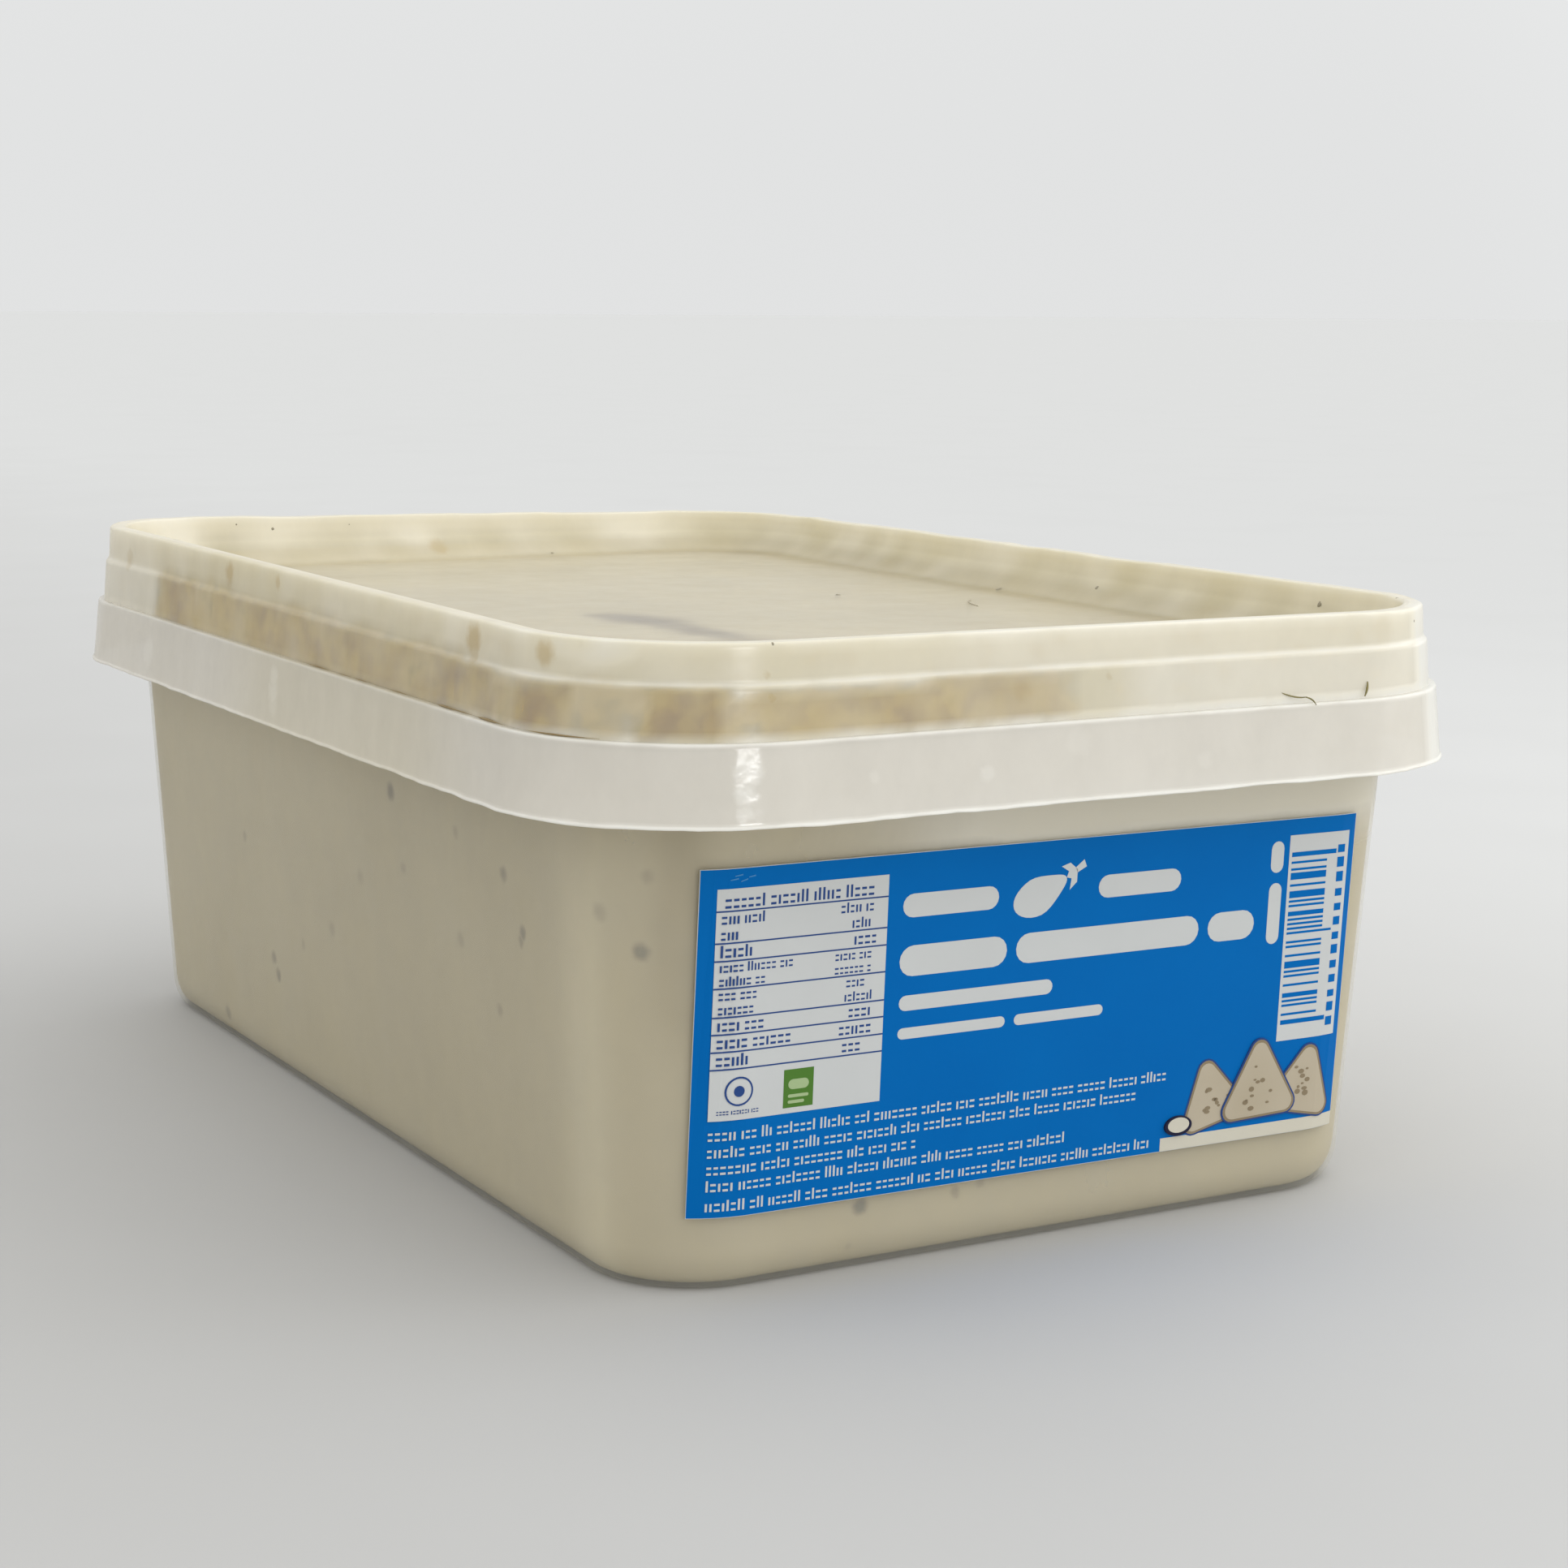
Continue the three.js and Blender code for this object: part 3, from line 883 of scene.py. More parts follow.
# %% Where the dip is paler and darker: drifts of tone, painted light and painted shade
FLECKS = (               # bits of skin that lie against the wall: x, y, z, radius and strength
    (-52.0, -18.8, 45.5, 1.4, 0.72), (-51.6, -21.6, 36.6, 1.0, 0.28), (-51.8, -51.1, 41.1, 1.2, 0.60),
    (-51.5, -55.6, 35.3, 1.1, 0.64), (-51.5, -55.0, 34.2, 0.9, 0.48), (-48.4, -78.6, 37.3, 1.3, 0.64),
    (-50.7, 26.5, 15.9, 1.2, 0.60), (-50.6, 25.0, 13.9, 1.2, 0.64), (-50.1, 47.3, 3.8, 1.4, 0.48),
    (-51.1, -48.4, 25.0, 1.0, 0.40), (-51.3, 35.4, 31.2, 1.0, 0.32), (-51.9, -38.1, 43.7, 1.0, 0.28),
    (-50.9, 14.7, 20.0, 1.0, 0.24), (-51.4, -7.2, 32.9, 1.2, 0.24), (-51.3, -38.2, 31.1, 1.2, 0.28),
    (-51.0, 3.8, 24.3, 1.3, 0.24), (-51.2, -74.2, 41.0, 1.3, 0.28), (-48.2, -79.6, 45.4, 1.0, 0.28),
    (-22.9, -81.3, 7.2, 1.2, 0.76), (-10.6, -81.3, 7.0, 0.9, 0.40), (-7.4, -81.3, 7.6, 0.8, 0.32),
)
SMEAR = (                # a grey-brown streak under the lid's panel: x, y, half its width and strength
    (-14.6, 1.5, 2.5, 0.5), (-13.0, -3.0, 5.2, 1.0), (-11.4, -7.5, 6.2, 1.0), (-11.0, -12.5, 3.8, 0.9),
    (-11.5, -17.0, 3.2, 0.8), (-11.2, -23.0, 4.2, 1.0), (-10.2, -28.5, 3.0, 0.8), (-8.6, -34.0, 2.0, 0.5),
)


def dip_tone_and_painted_light(points):
    """The dip's own drifts of tone, with painted light high up and down the near corner, and painted shade.
    """
    s = around(points)
    z = points[:, 2]
    drift = waves(points * [1, 1, 0.6], 14, seed=21) * (0.1 + 0.12 * smoothstep(z, 58, 62))
    # painted light: paler high on the wall, against the shade under the skirt
    high = 0.3 * smoothstep(z, 38, 51) + 0.25 * falling(s, -90, -60) * smoothstep(z, 30, 45)
    # painted reflection: a paler band down the near corner
    corner = 0.7 * np.exp(-((s + 13) / 6) ** 2) * falling(z, 52, 60)
    # painted shade: a darker band just left of the label
    shade = 0.6 * np.exp(-((s - 5) / 4.5) ** 2) * smoothstep(z, 22, 36) * falling(z, 52, 60)
    # painted shade: darker along the foot of the lid's far inner wall
    foot = smoothstep(beyond_ridge(points), -9, -7) * smoothstep(points[:, 0], 0, 45) * smoothstep(z, 60, 62)
    return np.clip(0.45 + drift + high + corner - shade - 0.6 * foot * far_side(points), 0, 1)


def smeared(points):
    """The streak: strongest on its route, with ragged sides."""
    x, y, half_width, strength = np.array(SMEAR).T
    ragged = 1.3 * waves(points, 3, seed=24)
    mask = np.zeros(len(points))
    for step in np.linspace(0, len(SMEAR) - 1, 50):
        at = [np.interp(step, range(len(SMEAR)), values) for values in (x, y, half_width, strength)]
        away = np.hypot(points[:, 0] - at[0], points[:, 1] - at[1]) + ragged
        mask = np.maximum(mask, at[3] * falling(away, 0.3 * at[2], 1.2 * at[2]))
    return mask * (0.85 + 0.4 * waves(points, 2.2, seed=25)) * (points[:, 2] > PANEL_TOP - 2)


paint(dip, "dip_tone_and_painted_light", dip_tone_and_painted_light)
paint(dip, "smeared", smeared)


# %% Make the dip's material
FLECK = "#5E594D"
STREAK = "#5C3F1E"
SPECK = "#6F685C"
SPECK_CELL = 6           # millimetres across each cell that may hold a speck


def mottled(tree, place, dark, light, size):
    """A base colour that drifts between two tones, with small dark specks in some of its cells."""
    base = mixed(tree, clouds(tree, place, size, 4.0), dark, light)
    cells = add(tree, "TexVoronoi", {"Vector": place, "Scale": per_mm(SPECK_CELL)})
    chance = add(tree, "SeparateColor", {0: cells.outputs["Color"]}).outputs[0]
    reach = ranged(tree, chance, 0.55, 1.0, 0.0, 0.07)
    near = computed(tree, "SUBTRACT", reach, cells.outputs["Distance"])
    return mixed(tree, ranged(tree, near, -0.04, 0.04, 0.0, 0.4), base, SPECK)


def aubergine_puree(name, dark, light, pale_and_lit_tone):
    material, tree = new_material(name)
    place = object_place(tree)
    # the painted attribute carries painted light and painted shade as well as drifts of tone
    colour = mixed(tree, painted(tree, "dip_tone_and_painted_light"), mottled(tree, place, dark, light, 5), pale_and_lit_tone)
    flecked = mixed(tree, spots(tree, place, FLECKS, 0.7), colour, FLECK)
    streaked = mixed(tree, painted(tree, "smeared"), flecked, STREAK)
    paste = add(tree, "BsdfPrincipled", {"Base Color": streaked, "Roughness": 0.38, "IOR": 1.4})
    show(tree, paste.outputs[0])
    return material


puree = aubergine_puree("aubergine_puree", "#A69A79", "#B2A483", "#D0C4A4")
for piece, material, node, slot in (
    (tub, tub_plastic, "tub", "tub_plastic"),
    (lid, lid_plastic, "lid", "lid_plastic"),
    (dip, puree, "dip", "aubergine_dip"),
):
    piece.data.materials.append(material)
    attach(piece, "root")
    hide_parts(node)
print("dressed:", tub.name, lid.name, dip.name)

# %% [markdown]
# ## Squeezed dip
#
# Pressing the lid on also pushes dip over the rim, into the narrow gap behind the lid's outer skin.
# There it dries and shows through as tan patches with ragged ends, paler where it is thin. It is a
# thin closed band that reaches half-way into the skin, and its material is clear wherever no patch is.

# %% Loft the squeezed band
BAND_SHEET = 0.3


def band_profile():
    outer = [
        (SKIN_OUTSET - INTO_WALL, SHELF_TOP - 0.1),
        (STEP_OUTSET[0] - INTO_WALL, STEP_BOTTOM - 0.1),
        (STEP_OUTSET[1] - INTO_WALL, STEP_TOP + 0.1),
        (-INTO_WALL, RIDGE_TOP - 0.9),
    ]
    inner = [(outset - BAND_SHEET, z) for outset, z in reversed(outer)]
    return refined([np.array(row) for row in rows_of(outer + inner)], 0.8)


def band_shape(points, _outward):
    moved = points.copy()
    moved[:, 2] += ridge_lift(points)
    return moved


def drying_puree(name, thin, thick):
    """Dip that covers only where its mesh says so, yellower where it is thin."""
    material, tree = new_material(name)
    place = object_place(tree)
    ragged = ranged(tree, clouds(tree, place, 2.4, 4.0), 0.3, 0.7, -0.3, 0.3)
    total = computed(tree, "ADD", painted(tree, "cover"), ragged)
    solid = ranged(tree, total, 0.1, 0.5)
    brown = mixed(tree, ranged(tree, total, 0.4, 1.15), thin, mottled(tree, place, *thick, 4))
    paste = add(tree, "BsdfPrincipled", {"Base Color": brown, "Roughness": 0.4, "IOR": 1.4, "Alpha": solid})
    show(tree, paste.outputs[0])
    return material


squeezed_band = shell("squeezed_dip", band_profile(), band_shape, caps=False)
paint(squeezed_band, "cover", squeezed)
squeezed_band.data.materials.append(drying_puree("drying_puree", "#CFB568", ("#88694A", "#A6886A")))
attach(squeezed_band, "root")
report(squeezed_band)

# %% [markdown]
# A bead of dried dip is left in the crevice between the lid and the skirt, thickest near the corner.

# %% Lay the bead in the crevice
BEAD_OUTSET = 1.25
BEAD_FROM, BEAD_TO = -76, -2      # places round the lid
BEAD_THICKEST = 0.16


def crevice_bead():
    """A tube along the crevice whose thickness comes and goes."""
    route = loop(PLAN, BEAD_OUTSET, SHELF_TOP + 0.12)
    s = around(route)
    order = np.argsort(s)
    order = order[(s[order] > BEAD_FROM) & (s[order] < BEAD_TO)]
    centre, outward, s = route[order], PLAN[order, 2:], s[order]
    ends = (0.4 + 0.6 * smoothstep(s, -45, -28)) * smoothstep(s, BEAD_FROM, BEAD_FROM + 8)
    ends = ends * falling(s, BEAD_TO - 6, BEAD_TO)
    radius = 0.01 + ends * np.clip(0.05 + 0.3 * waves(centre, 5, seed=13), 0.0, BEAD_THICKEST)
    sides = 8
    points = []
    for step in range(sides):
        angle = 2 * math.pi * step / sides
        across = outward * (radius * math.cos(angle))[:, None]
        points.append(np.column_stack([centre[:, :2] + across, centre[:, 2] + radius * math.sin(angle)]))
    points = np.stack(points, 1).reshape(-1, 3)
    faces = quads_between(len(centre), sides, 0, True)
    last = (len(centre) - 1) * sides
    faces += [tuple(range(sides)), tuple(range(last, last + sides))]
    return mesh_object("crevice_bead", points, faces)


bead = crevice_bead()
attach(bead, "root")
report(bead)

# %% [markdown]
# ## Crumbs and threads
#
# What makes it a tub that somebody filled is the small stuff: specks of pepper on the lid, a hair of
# aubergine skin, and threads of herb in the crevice. Each sits on the surface that carries it: a
# speck's place is given roughly, and the nearest point of the lid is found.

# %% Helpers for small lumps and threads
def lumps(name, surface, places, flat, sunk, seed):
    """Small flattened lumps at places (x, y, z, radius) on a surface, sunk into it, as one mesh."""
    bpy.context.view_layer.update()
    points, faces = [], []
    for number, (x, y, z, radius) in enumerate(places):
        _, where, normal, _ = surface.closest_point_on_mesh(Vector((x, y, z)) * MM)
        turn = normal.to_track_quat("Z", "X")
        ball = bmesh.new()
        bmesh.ops.create_icosphere(ball, subdivisions=2, radius=1)
        first = len(points)
        for vert in ball.verts:
            rough = 1 + 0.45 * noise.noise(vert.co * 1.4 + Vector((seed + 7.1 * number, 0, 0)))
            u, v, w = vert.co
            local = Vector((u * radius * rough, v * radius * rough, w * radius * flat - sunk))
            points.append(where / MM + turn @ local)
        faces += [[first + vert.index for vert in face.verts] for face in ball.faces]
        ball.free()
    made = mesh_object(name, points, faces)
    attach(made, "root")
    report(made)
    return made


def threads(name, routes, steps=12, sides=6):
    """Thin tapered threads. A route is three points and a radius, and the thread curves past the second."""
    points, faces = [], []
    for start, over, end, radius in routes:
        start, over, end = (Vector(point) for point in (start, over, end))
        first = len(points)
        for step in range(steps + 1):
            t = step / steps
            centre = start * (1 - t) ** 2 + over * 2 * t * (1 - t) + end * t ** 2
            ahead = (over - start) * (1 - t) + (end - over) * t
            turn = ahead.to_track_quat("Z", "X")
            thick = radius * (0.25 + 0.75 * math.sin(math.pi * (0.08 + 0.84 * t)))
            for side in range(sides):
                angle = 2 * math.pi * side / sides
                points.append(centre + turn @ Vector((thick * math.cos(angle), thick * math.sin(angle), 0)))
        faces += quads_between(steps + 1, sides, first, True)
        last = first + steps * sides
        faces += [tuple(range(first, first + sides)), tuple(range(last, last + sides))]
    made = mesh_object(name, points, faces)
    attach(made, "root")
    report(made)
    return made


def plant_scrap(name, dark, light, size):
    """Pepper, skin or herb: dry plant scraps with an uneven tone."""
    material, tree = new_material(name)
    tone = mixed(tree, clouds(tree, object_place(tree), size, 3.0), dark, light)
    scrap = add(tree, "BsdfPrincipled", {"Base Color": tone, "Roughness": 0.6})
    show(tree, scrap.outputs[0])
    return material


# %% Set the crumbs and threads
PEPPER = (               # x, y, z and radius of each speck
    (-27.9, 86.2, 68.5, 0.28), (-15.5, 86.3, 68.8, 0.18), (-33.6, 86.4, 69.3, 0.2), (17.0, 82.0, 63.8, 0.3),
    (26.7, 9.2, 63.4, 0.4), (50.6, 4.9, 63.6, 0.5), (53.2, -15.1, 65.6, 0.35), (47.2, -8.4, 63.4, 0.22),
    (54.9, -60.3, 67.3, 0.4), (54.2, -75.2, 69.5, 0.22), (53.8, -76.8, 69.7, 0.18), (-38.6, -88.5, 69.9, 0.2),
    (47.6, -86.0, 68.2, 0.22), (56.0, 0.5, 69.9, 0.15),
)
SPECK_FLAT = 0.35        # height of a speck, as a part of its width
SPECK_SUNK = 0.05
pepper = lumps("pepper_specks", lid, PEPPER, SPECK_FLAT, SPECK_SUNK, 3.0)
pepper.data.materials.append(plant_scrap("black_pepper", "#7C745E", "#A0977F", 0.3))
bead.data.materials.append(plant_scrap("dried_puree", "#78653F", "#9F8B62", 1.2))

HERBS = (                # three points and a radius
    ((25.3, -89.8, 61.6), (27.2, -90.3, 60.8), (28.6, -90.3, 61.0), 0.09),
    ((28.2, -90.3, 61.0), (29.2, -90.6, 60.9), (29.4, -91.0, 60.1), 0.09),
    ((37.5, -89.95, 62.2), (37.5, -90.1, 61.4), (36.9, -90.3, 60.6), 0.14),
)
HAIRS = (((38.6, -6.4, 63.5), (35.6, -9.0, 63.7), (35.2, -13.4, 63.5), 0.1),)
herbs = threads("herb_threads", HERBS)
herbs.data.materials.append(plant_scrap("dried_herb", "#5C5832", "#958950", 0.6))
hairs = threads("skin_thread", HAIRS)
hairs.data.materials.append(plant_scrap("aubergine_thread", "#978E78", "#ACA48F", 0.6))

# %% [markdown]
# ## The label
#
# The label is a printed film, stuck round the front wall and into both rounded corners. A decal or a
# UV map could carry its print, but a drawing in thin layers of ink stays sharp at any distance. So
# everything printed is a flat shape, drawn in millimetres from the label's lower left corner, and one
# function bends it onto the wall.

# %% Bend the label round the wall
LABEL_WIDTH = 85.9
LABEL_HEIGHT = 37.8
LABEL_SHEET = 0.2
LABEL_OFF = 0.5          # the film's face, off the wall
LABEL_SIDE = -0.8        # its middle, along the wall from the front's middle
LABEL_MIDDLE = 27.2      # its middle, above the base
LABEL_TILT = math.radians(-0.4)


def on_wall(along, z, off):
    """A point so far along the front wall from its middle, so high, and so far off it."""
    corner = wall_corner(z)
    straight = RIDGE_WIDTH / 2 + wall_outset(z) - corner
    turn = max(abs(along) - straight, 0) / corner
    x = min(abs(along), straight) + (corner + off) * math.sin(turn)
    y = RIDGE_LENGTH / 2 + wall_outset(z) - corner + (corner + off) * math.cos(turn)
    return math.copysign(x, along), -y, z


def on_label(across, up, off):
    """A point of the label, from its lower left corner, so far off the wall."""
    u, v = across - LABEL_WIDTH / 2, up - LABEL_HEIGHT / 2
    along = LABEL_SIDE + u * math.cos(LABEL_TILT) - v * math.sin(LABEL_TILT)
    z = LABEL_MIDDLE + u * math.sin(LABEL_TILT) + v * math.cos(LABEL_TILT)
    return on_wall(along, z, off)


INK = 0.02               # each layer of ink stands this much higher than the one below
CUT = 1.5                # shapes are cut this often along the label, so that they can bend


def wrapped(name, shapes, low, high):
    """Flat shapes on the label as thin closed sheets between two distances off the wall."""
    work = bmesh.new()
    for shape in shapes:
        work.faces.new([work.verts.new((u, v, 0)) for u, v in shape])
    for cut in np.arange(CUT, LABEL_WIDTH, CUT):
        everything = work.verts[:] + work.edges[:] + work.faces[:]
        bmesh.ops.bisect_plane(work, geom=everything, plane_co=(cut, 0, 0), plane_no=(1, 0, 0), dist=1e-4)
    raised = bmesh.ops.extrude_face_region(work, geom=work.faces[:], use_keep_orig=True)
    tops = {v for v in raised["geom"] if isinstance(v, bmesh.types.BMVert)}
    for vert in work.verts:
        across, up, _ = vert.co
        vert.co = Vector(on_label(across, up, high if vert in tops else low)) * MM
    bmesh.ops.recalc_face_normals(work, faces=work.faces)
    mesh = bpy.data.meshes.new(name)
    work.to_mesh(mesh)
    work.free()
    return placed(name, mesh)


def box(left, low, right, high):
    return [(left, low), (right, low), (right, high), (left, high)]


label = wrapped("label_film", [box(0, 0, LABEL_WIDTH, LABEL_HEIGHT)], LABEL_OFF - LABEL_SHEET, LABEL_OFF)
report(label)

# %% [markdown]
# The film is white polypropylene and the inks are flexographic: thin, even, a little glossy. A print
# is never one flat tone, so each ink drifts towards a second tone over about a centimetre, and its
# gloss has the film's fine unevenness.

# %% Make the film and the inks
def printed_film(name, colour, drift="#808080", share=0.06):
    material, tree = new_material(name)
    place = object_place(tree)
    amount = ranged(tree, clouds(tree, place, 12, 3.0), 0.3, 0.7, 0.0, share)
    grain = clouds(tree, place, 0.5, 2.0)
    bump = add(tree, "Bump", {"Height": grain, "Strength": 0.05, "Distance": 0.1 * MM})
    ink = add(tree, "BsdfPrincipled", {"Base Color": mixed(tree, amount, colour, drift), "Roughness": 0.4,
                                       "IOR": 1.5, "Specular IOR Level": 0.05, "Normal": bump.outputs[0]})
    show(tree, ink.outputs[0])
    return material


INKS = {
    "film_white": printed_film("white_label_film", "#CDD0CE"),
    "blue": printed_film("blue_flexo_ink", "#0064AF", "#006AB5", 0.5),
    "navy": printed_film("navy_flexo_ink", "#2B4882"),
    "white": printed_film("white_flexo_ink", "#CACCCB"),
    "green": printed_film("green_flexo_ink", "#4E7A2E"),
    "pale_green": printed_film("pale_green_flexo_ink", "#A5BA8A"),
    "toast": printed_film("toast_flexo_ink", "#91836B", "#7C6E58", 0.5),
    "sand": printed_film("sand_flexo_ink", "#BDB29E", "#A99C83", 0.5),
    "cream": printed_film("cream_flexo_ink", "#CFCABA"),
    "aubergine": printed_film("aubergine_flexo_ink", "#24243A"),
    "worn": printed_film("worn_flexo_ink", "#4A8BC0"),
}
print("inks:", ", ".join(INKS))

# %% [markdown]
# Everything printed goes through one function: its shapes, its ink, and its layer.

# %% Print the plain fields
def printed(name, ink, layer, shapes):
    piece = wrapped(name, shapes, LABEL_OFF - INK, LABEL_OFF + layer * INK)
    piece.data.materials.append(INKS[ink])
    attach(piece, "root")
    report(piece)
    return piece


label.data.materials.append(INKS["film_white"])
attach(label, "root")
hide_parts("label")

EDGE = 0.06              # the white cut edge of the film
PANEL = (1.85, 10.7, 22.3, 35.65)     # the two white fields: left, low, right, high
CODE = (76.2, 11.35, 84.9, 35.85)
printed("print_blue_field", "blue", 1, [box(EDGE, EDGE, LABEL_WIDTH - EDGE, LABEL_HEIGHT - EDGE)])
printed("print_white_fields", "white", 2, [box(*PANEL), box(*CODE)])
SCUFFS = (               # rubbed strokes on the blue: left, right, height at each end
    (3.2, 4.1, 36.5, 36.6), (4.4, 5.2, 36.3, 36.5), (5.3, 6.1, 36.7, 36.8), (3.7, 4.6, 36.9, 37.0),
)
printed("print_scuffs", "worn", 2, [[(left, low), (right, high), (right, high + 0.14), (left, low + 0.1)]
                                    for left, right, low, high in SCUFFS])

# %% [markdown]
# No words are printed. Where a pack like this has small print, there are rows of marks with the rhythm
# of small print: short uprights and pairs of dashes, in groups, drawn by a seeded random choice.
# Headlines are plain bars that hold about as much ink as a line of heavy type.

# %% Rows of small marks
def small_marks(left, right, base, cap, draw):
    """A row of marks between left and right, standing on base and as high as cap."""
    stroke = 0.19 * cap
    low = 0.72 * cap
    shapes = []
    x = left
    while x < right - cap:
        for _ in range(draw.randint(3, 8)):
            if x > right - 0.5 * cap:
                break
            if draw.random() < 0.45:
                width = stroke
                height = cap if draw.random() < 0.35 else low
                shapes.append(box(x, base, x + width, base + height))
            else:
                width = cap * draw.uniform(0.38, 0.5)
                shapes.append(box(x, base, x + width, base + stroke))
                shapes.append(box(x, base + low - stroke, x + width, base + low))
            x += width + 0.2 * cap
        x += 0.35 * cap
    return shapes


RULES = (33.2, 29.8, 27.9, 24.95, 21.85, 20.0, 18.1, 16.2)
RULE_INK = 0.16


def table_marks():
    """Ruled rows with marks at the left and shorter ones at the right, one or two lines to a row."""
    draw = random.Random(11)
    left, _, right, _ = PANEL
    shapes = [box(left, y, right, y + RULE_INK) for y in RULES]
    shapes += small_marks(left + 0.9, right - 0.8, RULES[0] + 0.4, 1.35, draw)
    for above, below in zip(RULES, RULES[1:]):
        lines = 2 if above - below > 2.5 else 1
        pitch = (above - below) / lines
        for line in range(lines):
            base = below + pitch * line + 0.24 * pitch
            shapes += small_marks(left + 0.6, left + draw.uniform(3.5, 9.5), base, 0.68 * pitch, draw)
            shapes += small_marks(right - draw.uniform(3.2, 6.5), right - 1.2, base, 0.66 * pitch, draw)
    return shapes


FOOT_LINES = ((8.53, 61.2), (6.67, 56.9), (4.8, 27.9), (2.95, 48.3), (0.75, 59.1))   # base, right end
FOOT_LEFT = 1.95
FOOT_CAP = 1.22          # height of a mark


def foot_marks():
    draw = random.Random(23)
    shapes = []
    for base, right in FOOT_LINES:
        shapes += small_marks(FOOT_LEFT, right, base, FOOT_CAP, draw)
    return shapes


printed("print_table_marks", "navy", 3, table_marks())
printed("print_foot_marks", "white", 2, foot_marks())

# %% [markdown]
# The headline's place holds bars with round ends, and between them a small plain aubergine, the
# usual sign for what is inside.

# %% Headline bars and the little aubergine
def arc(x, y, radius, start, end, steps=8, flat=1.0):
    angles = [math.radians(start + (end - start) * step / steps) for step in range(steps + 1)]
    return [(x + radius * math.cos(a), y + flat * radius * math.sin(a)) for a in angles]


def bar(left, low, right, high):
    """A bar with round ends, lying or upright."""
    radius = min(high - low, right - left) / 2
    start = -90 if high - low < right - left else 0
    far_end = arc(right - radius, high - radius, radius, start, start + 180)
    near_end = arc(left + radius, low + radius, radius, start + 180, start + 360)
    return far_end + near_end


# Outlines along and across the fruit, as parts of its length and width
COLLAR = (
    (0.48, 0.33), (0.57, 0.1), (0.5, 0.0), (0.57, -0.1),
    (0.48, -0.33), (0.64, -0.27), (0.72, 0.0), (0.64, 0.27),
)
STALK = ((0.7, -0.07), (0.88, -0.1), (0.88, 0.1), (0.7, 0.07))


def turned(shape, x, y, tilt):
    """A shape turned by a tilt in degrees and moved to x, y."""
    turn = math.radians(tilt)
    return [(x + u * math.cos(turn) - v * math.sin(turn), y + u * math.sin(turn) + v * math.cos(turn))
            for u, v in shape]


def aubergine(x, y, length, width, tilt):
    """The fruit as a slightly bent club, its cap as a toothed collar after a thin gap, and a stalk."""
    def bent(along, across):
        lean = 0.09 * along * along / length
        return along, across + lean

    body = []
    for step in range(32):
        angle = 2 * math.pi * step / 32
        along = math.cos(angle) * length / 2
        plump = 1 - 0.42 * smoothstep(along, -0.15 * length, 0.5 * length)
        body.append(bent(along, math.sin(angle) * width / 2 * plump))
    collar = [bent(length * along, width * across) for along, across in COLLAR]
    stalk = [bent(length * along, width * across) for along, across in STALK]
    return [turned(shape, x, y, tilt) for shape in (body, collar, stalk)]


HEADLINE = [
    bar(24.2, 30.7, 36.4, 33.3), bar(49.6, 30.7, 60.9, 33.3),
    bar(24.05, 24.2, 37.8, 27.6), bar(39.0, 24.2, 63.8, 27.6), bar(65.1, 24.2, 71.7, 27.6),
    bar(24.2, 20.4, 44.1, 22.1),
    bar(24.2, 17.25, 38.0, 18.5), bar(39.2, 17.25, 51.1, 18.5),
    bar(73.6, 23.2, 75.4, 30.4), bar(73.6, 31.6, 75.4, 35.3),
]
printed("print_headline_bars", "white", 2, HEADLINE)
printed("print_aubergine_sign", "white", 2, aubergine(41.9, 31.8, 7.4, 4.5, 24))

# %% [markdown]
# The stripes of the code are drawn in the label's own blue, from random widths of one to three units,
# with a column of small tiles beside them. The round and the square sign under the table are a plain
# ring round a dot and a plain green tile.

# %% Stripes and signs
CODE_UNIT = 0.27         # width of the thinnest stripe
CODE_STRIPES = (76.6, 13.3, 81.8, 34.8)    # left, low, right, high
GUARD = 1.3              # how much longer the stripes at both ends and in the middle are
CODE_TILES = 13
TILES_LEFT, TILES_RIGHT = 83.35, 84.35


def code_stripes():
    draw = random.Random(5)
    left, low, right, high = CODE_STRIPES
    middle = (low + high) / 2
    shapes = []
    y = low
    while y < high - 3 * CODE_UNIT:
        thick = CODE_UNIT * draw.choice((1, 1, 2, 3))
        guard = y < low + 3 * CODE_UNIT or abs(y - middle) < 2 * CODE_UNIT or y > high - 6 * CODE_UNIT
        shapes.append(box(left, y, right + (GUARD if guard else 0), y + thick))
        y += thick + CODE_UNIT * draw.choice((1, 1, 2, 3))
    pitch = (CODE[3] - CODE[1] - 2) / CODE_TILES
    for tile in range(CODE_TILES):
        base = CODE[1] + 1.2 + tile * pitch
        shapes.append(box(TILES_LEFT, base, TILES_RIGHT, base + draw.uniform(0.45, 0.7) * pitch))
    return shapes


def ring(x, y, radius, thick):
    """A ring as two halves, so that each is a plain outline."""
    halves = []
    for start in (0, 180):
        outer = arc(x, y, radius, start, start + 180, 14)
        inner = arc(x, y, radius - thick, start + 180, start, 14)
        halves.append(outer + inner)
    return halves


SIGN = (5.08, 13.8)      # middle of the ring
SIGN_RADIUS, DOT_RADIUS = 1.6, 0.6
GREEN_TILE = (10.35, 11.3, 13.97, 15.5)
GREEN_BARS = ((10.9, 13.3, 13.4, 14.4), (10.9, 12.4, 13.4, 12.75), (10.9, 11.75, 12.9, 12.1))
printed("print_code_stripes", "blue", 3, code_stripes())
signs = ring(*SIGN, SIGN_RADIUS, 0.2) + [arc(*SIGN, DOT_RADIUS, 0, 337.5, 15)]
signs += small_marks(2.7, 7.6, 11.35, 0.55, random.Random(3))
printed("print_round_sign", "navy", 3, signs)
printed("print_green_tile", "green", 3, [box(*GREEN_TILE)])
printed("print_green_tile_bars", "pale_green", 4, [bar(*place) for place in GREEN_BARS])

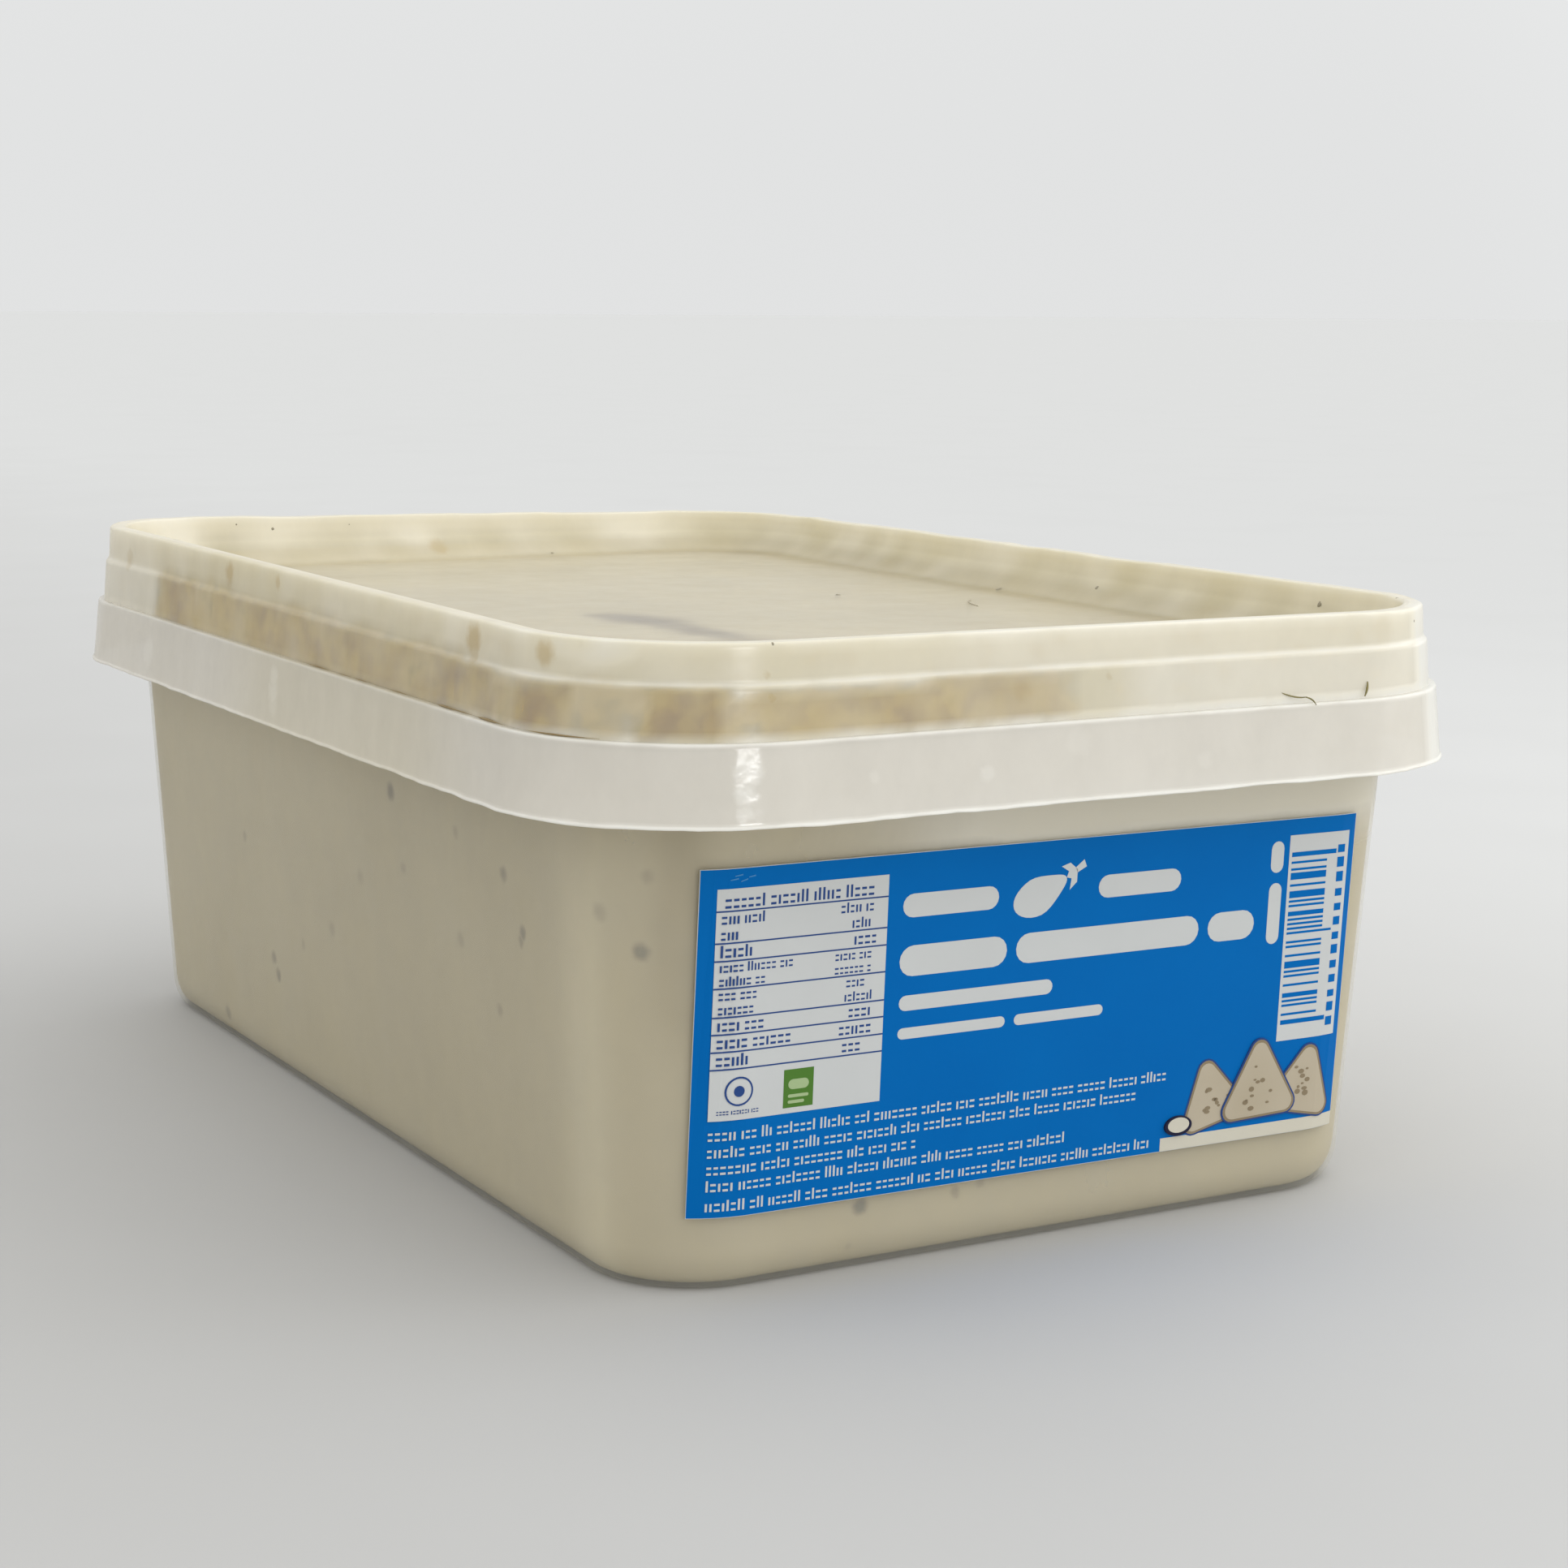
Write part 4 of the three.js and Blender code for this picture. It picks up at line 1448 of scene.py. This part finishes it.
# %% [markdown]
# A pack shows how its food is served. Here that is a fan of three flatbread wedges, each with a dark
# line, a toasted edge, a paler crumb and a few toast marks, and a slice of aubergine beside them.

# %% Flatbread wedges
GROUND = 1.6             # height of the cream strip
GROUND_LEFT = 60.3
WEDGES = ((67.3, 5.4, 6.2, 14), (80.4, 5.5, 6.4, -12), (74.0, 6.1, 7.1, 2))   # middle, reach, tilt
WEDGE_LINE = 0.2         # width of the dark line round each
WEDGE_ROUND, CRUMB_ROUND = 1.3, 1.1    # corner radii of the wedge and of the crumb inside it
CRUMB_LESS = 0.55        # how much shorter the crumb's reach is
CORNERS = (90, 210, 330)    # degrees, of a wedge that points up
SLICE = (62.6, 2.9)      # middle of the slice


def wedge(x, y, reach, tilt, radius=WEDGE_ROUND, grown=0.0):
    """A triangle with round corners. Its tips would be at the reach from its middle if they were sharp."""
    shape = []
    for corner in CORNERS:
        angle = math.radians(corner + tilt)
        centre = reach - 2 * radius
        shape += arc(x + centre * math.cos(angle), y + centre * math.sin(angle), radius + grown,
                     corner + tilt - 60, corner + tilt + 60, 6)
    return shape


def toast_marks(x, y, reach, tilt, draw):
    """Small uneven ovals inside a wedge."""
    marks = []
    for _ in range(11):
        angle = math.radians(tilt + draw.choice(CORNERS) + draw.uniform(-35, 35))
        away = draw.uniform(0.05, 0.42) * reach
        middle = (x + away * math.cos(angle), y + away * math.sin(angle))
        marks.append(arc(*middle, draw.uniform(0.2, 0.5), 0, 315, 7, draw.uniform(0.5, 0.9)))
    return marks


printed("print_cream_ground", "cream", 2, [box(GROUND_LEFT, EDGE, LABEL_WIDTH - EDGE, GROUND)])
for number, (x, y, reach, tilt) in enumerate(WEDGES):
    layer = 3 + 4 * number
    printed(f"print_wedge_{number}_line", "navy", layer, [wedge(x, y, reach, tilt, grown=WEDGE_LINE)])
    printed(f"print_wedge_{number}_crust", "toast", layer + 1, [wedge(x, y, reach, tilt)])
    crumb = wedge(x, y, reach - CRUMB_LESS, tilt, CRUMB_ROUND)
    printed(f"print_wedge_{number}_crumb", "sand", layer + 2, [crumb])
    printed(f"print_wedge_{number}_toast", "toast", layer + 3,
            toast_marks(x, y, reach, tilt, random.Random(40 + number)))
printed("print_slice_skin", "aubergine", 15, [arc(*SLICE, 1.9, 0, 345, 23, 0.62)])
printed("print_slice_flesh", "cream", 16, [arc(SLICE[0], SLICE[1] + 0.1, 1.5, 0, 345, 23, 0.6)])

# %% [markdown]
# ## Floor
#
# A large pale matt sheet, with painted shade towards its left and painted light towards its right. It is part
# of the stage, not of the tub.

# %% Lay the floor
FLOOR_HALF = 12000       # millimetres, so that its edge is far away


def matt_card_painted_light(name, shaded_tone, pale_and_lit_tone):
    """A card with painted shade on the left and painted light on the right, and a faint grain."""
    material, tree = new_material(name)
    place = object_place(tree)
    across = add(tree, "SeparateXYZ", {0: place}).outputs["X"]
    # painted shade and painted light: darker towards the left, paler towards the right
    side = ranged(tree, across, -300 * MM, 400 * MM, 0.0, 0.9, "SMOOTHSTEP")
    share = computed(tree, "MULTIPLY_ADD", clouds(tree, place, 60, 2.0), 0.2, side)
    card = add(tree, "BsdfPrincipled", {"Base Color": mixed(tree, share, shaded_tone, pale_and_lit_tone), "Roughness": 0.75})
    show(tree, card.outputs[0])
    return material


corners = [(-1, -1), (1, -1), (1, 1), (-1, 1)]
floor = mesh_object("floor_card", [(x * FLOOR_HALF, y * FLOOR_HALF, 0) for x, y in corners], [(0, 1, 2, 3)])
floor.data.materials.append(matt_card_painted_light("matt_card_painted_light", "#AEADAB", "#C7C7C6"))
report(floor)

# %% [markdown]
# ## Light
#
# The light is a bright room: soft from everywhere, with more of it from the right and from behind.
# The room is the world, brighter towards one side. A wide panel stands close on the right, so the
# front brightens along its length, and a small window behind the viewer gives the bright streak on
# the rounded corner, which three painted highlight spots in the skirt make stronger.

# %% Light the stage
HORIZON_LIGHT = 0.765
CEILING_LIGHT = 1.295
SIDE_LIGHT = 0.52        # how much more comes from the bright side
BRIGHT_SIDE = (1.0, -0.15, 0.35)
PANELS = (               # name, place, target, width, height and watts
    ("side_panel", (420, -150, 230), (0, 0, 30), 420, 380, 0.4),
    ("window", (-15, -1177, 160), (-43, -88, 56), 240, 120, 1.35),
)


def room_light(horizon, ceiling, side, towards):
    """A world of one tone at the horizon, brighter overhead and brighter towards one side."""
    world = bpy.data.worlds.new("bright_room")
    bpy.context.scene.world = world
    world.use_nodes = True
    tree = world.node_tree
    tree.nodes.clear()
    direction = add(tree, "TexCoord").outputs["Generated"]
    up = add(tree, "SeparateXYZ", {0: direction}).outputs["Z"]
    overhead = ranged(tree, up, 0.02, 0.9, horizon, ceiling, "SMOOTHSTEP")
    facing = add(tree, "VectorMath", {0: direction, 1: Vector(towards).normalized()}, operation="DOT_PRODUCT")
    beside = ranged(tree, facing.outputs["Value"], 0.5, 1.0, 0.0, side, "SMOOTHSTEP")
    strength = computed(tree, "ADD", overhead, beside)
    light = add(tree, "Background", {"Color": linear("#FEFFFF"), "Strength": strength})
    add(tree, "OutputWorld", {"Surface": light.outputs[0]})


def panel_light(name, place, target, width, height, power):
    """A rectangular light at a place, aimed at a target, both in millimetres."""
    data = bpy.data.lights.new(name, "AREA")
    data.shape = "RECTANGLE"
    data.size = width * MM
    data.size_y = height * MM
    data.energy = power
    made = placed(name, data)
    made.location = Vector(place) * MM
    made.rotation_euler = (Vector(target) - Vector(place)).to_track_quat("-Z", "Y").to_euler()


room_light(HORIZON_LIGHT, CEILING_LIGHT, SIDE_LIGHT, BRIGHT_SIDE)
for panel in PANELS:
    panel_light(*panel)
print("lights:", ", ".join(panel[0] for panel in PANELS))

# %% [markdown]
# ## Camera
#
# A short telephoto view from the front left, a little above the lid, turned by half a degree as a
# hand-held camera is.

# %% Place the camera
IMAGE_SIDE = 1932        # pixels
FOCAL_PIXELS = 3683.3
SENSOR = 36.0            # millimetres
AZIMUTH, ELEVATION, ROLL = -29.56, 9.33, 0.579    # degrees
AIM = (13.12, 0, 38.94)
DISTANCE = 405.7


def place_camera():
    azimuth, elevation = math.radians(AZIMUTH), math.radians(ELEVATION)
    back = Vector((
        math.sin(azimuth) * math.cos(elevation),
        -math.cos(azimuth) * math.cos(elevation),
        math.sin(elevation),
    ))
    data = bpy.data.cameras.new("camera")
    data.sensor_width = SENSOR
    data.lens = FOCAL_PIXELS / IMAGE_SIDE * SENSOR
    data.clip_start = 0.01
    made = placed("camera", data)
    turn = back.to_track_quat("Z", "Y") @ Quaternion((0, 0, 1), math.radians(ROLL))
    made.matrix_world = Matrix.Translation((Vector(AIM) + back * DISTANCE) * MM) @ turn.to_matrix().to_4x4()
    bpy.context.scene.camera = made
    return made


camera = place_camera()
bpy.context.scene.view_settings.view_transform = "Standard"
print(f"camera with a {camera.data.lens:.1f} mm lens, {DISTANCE:.0f} mm from what it looks at")
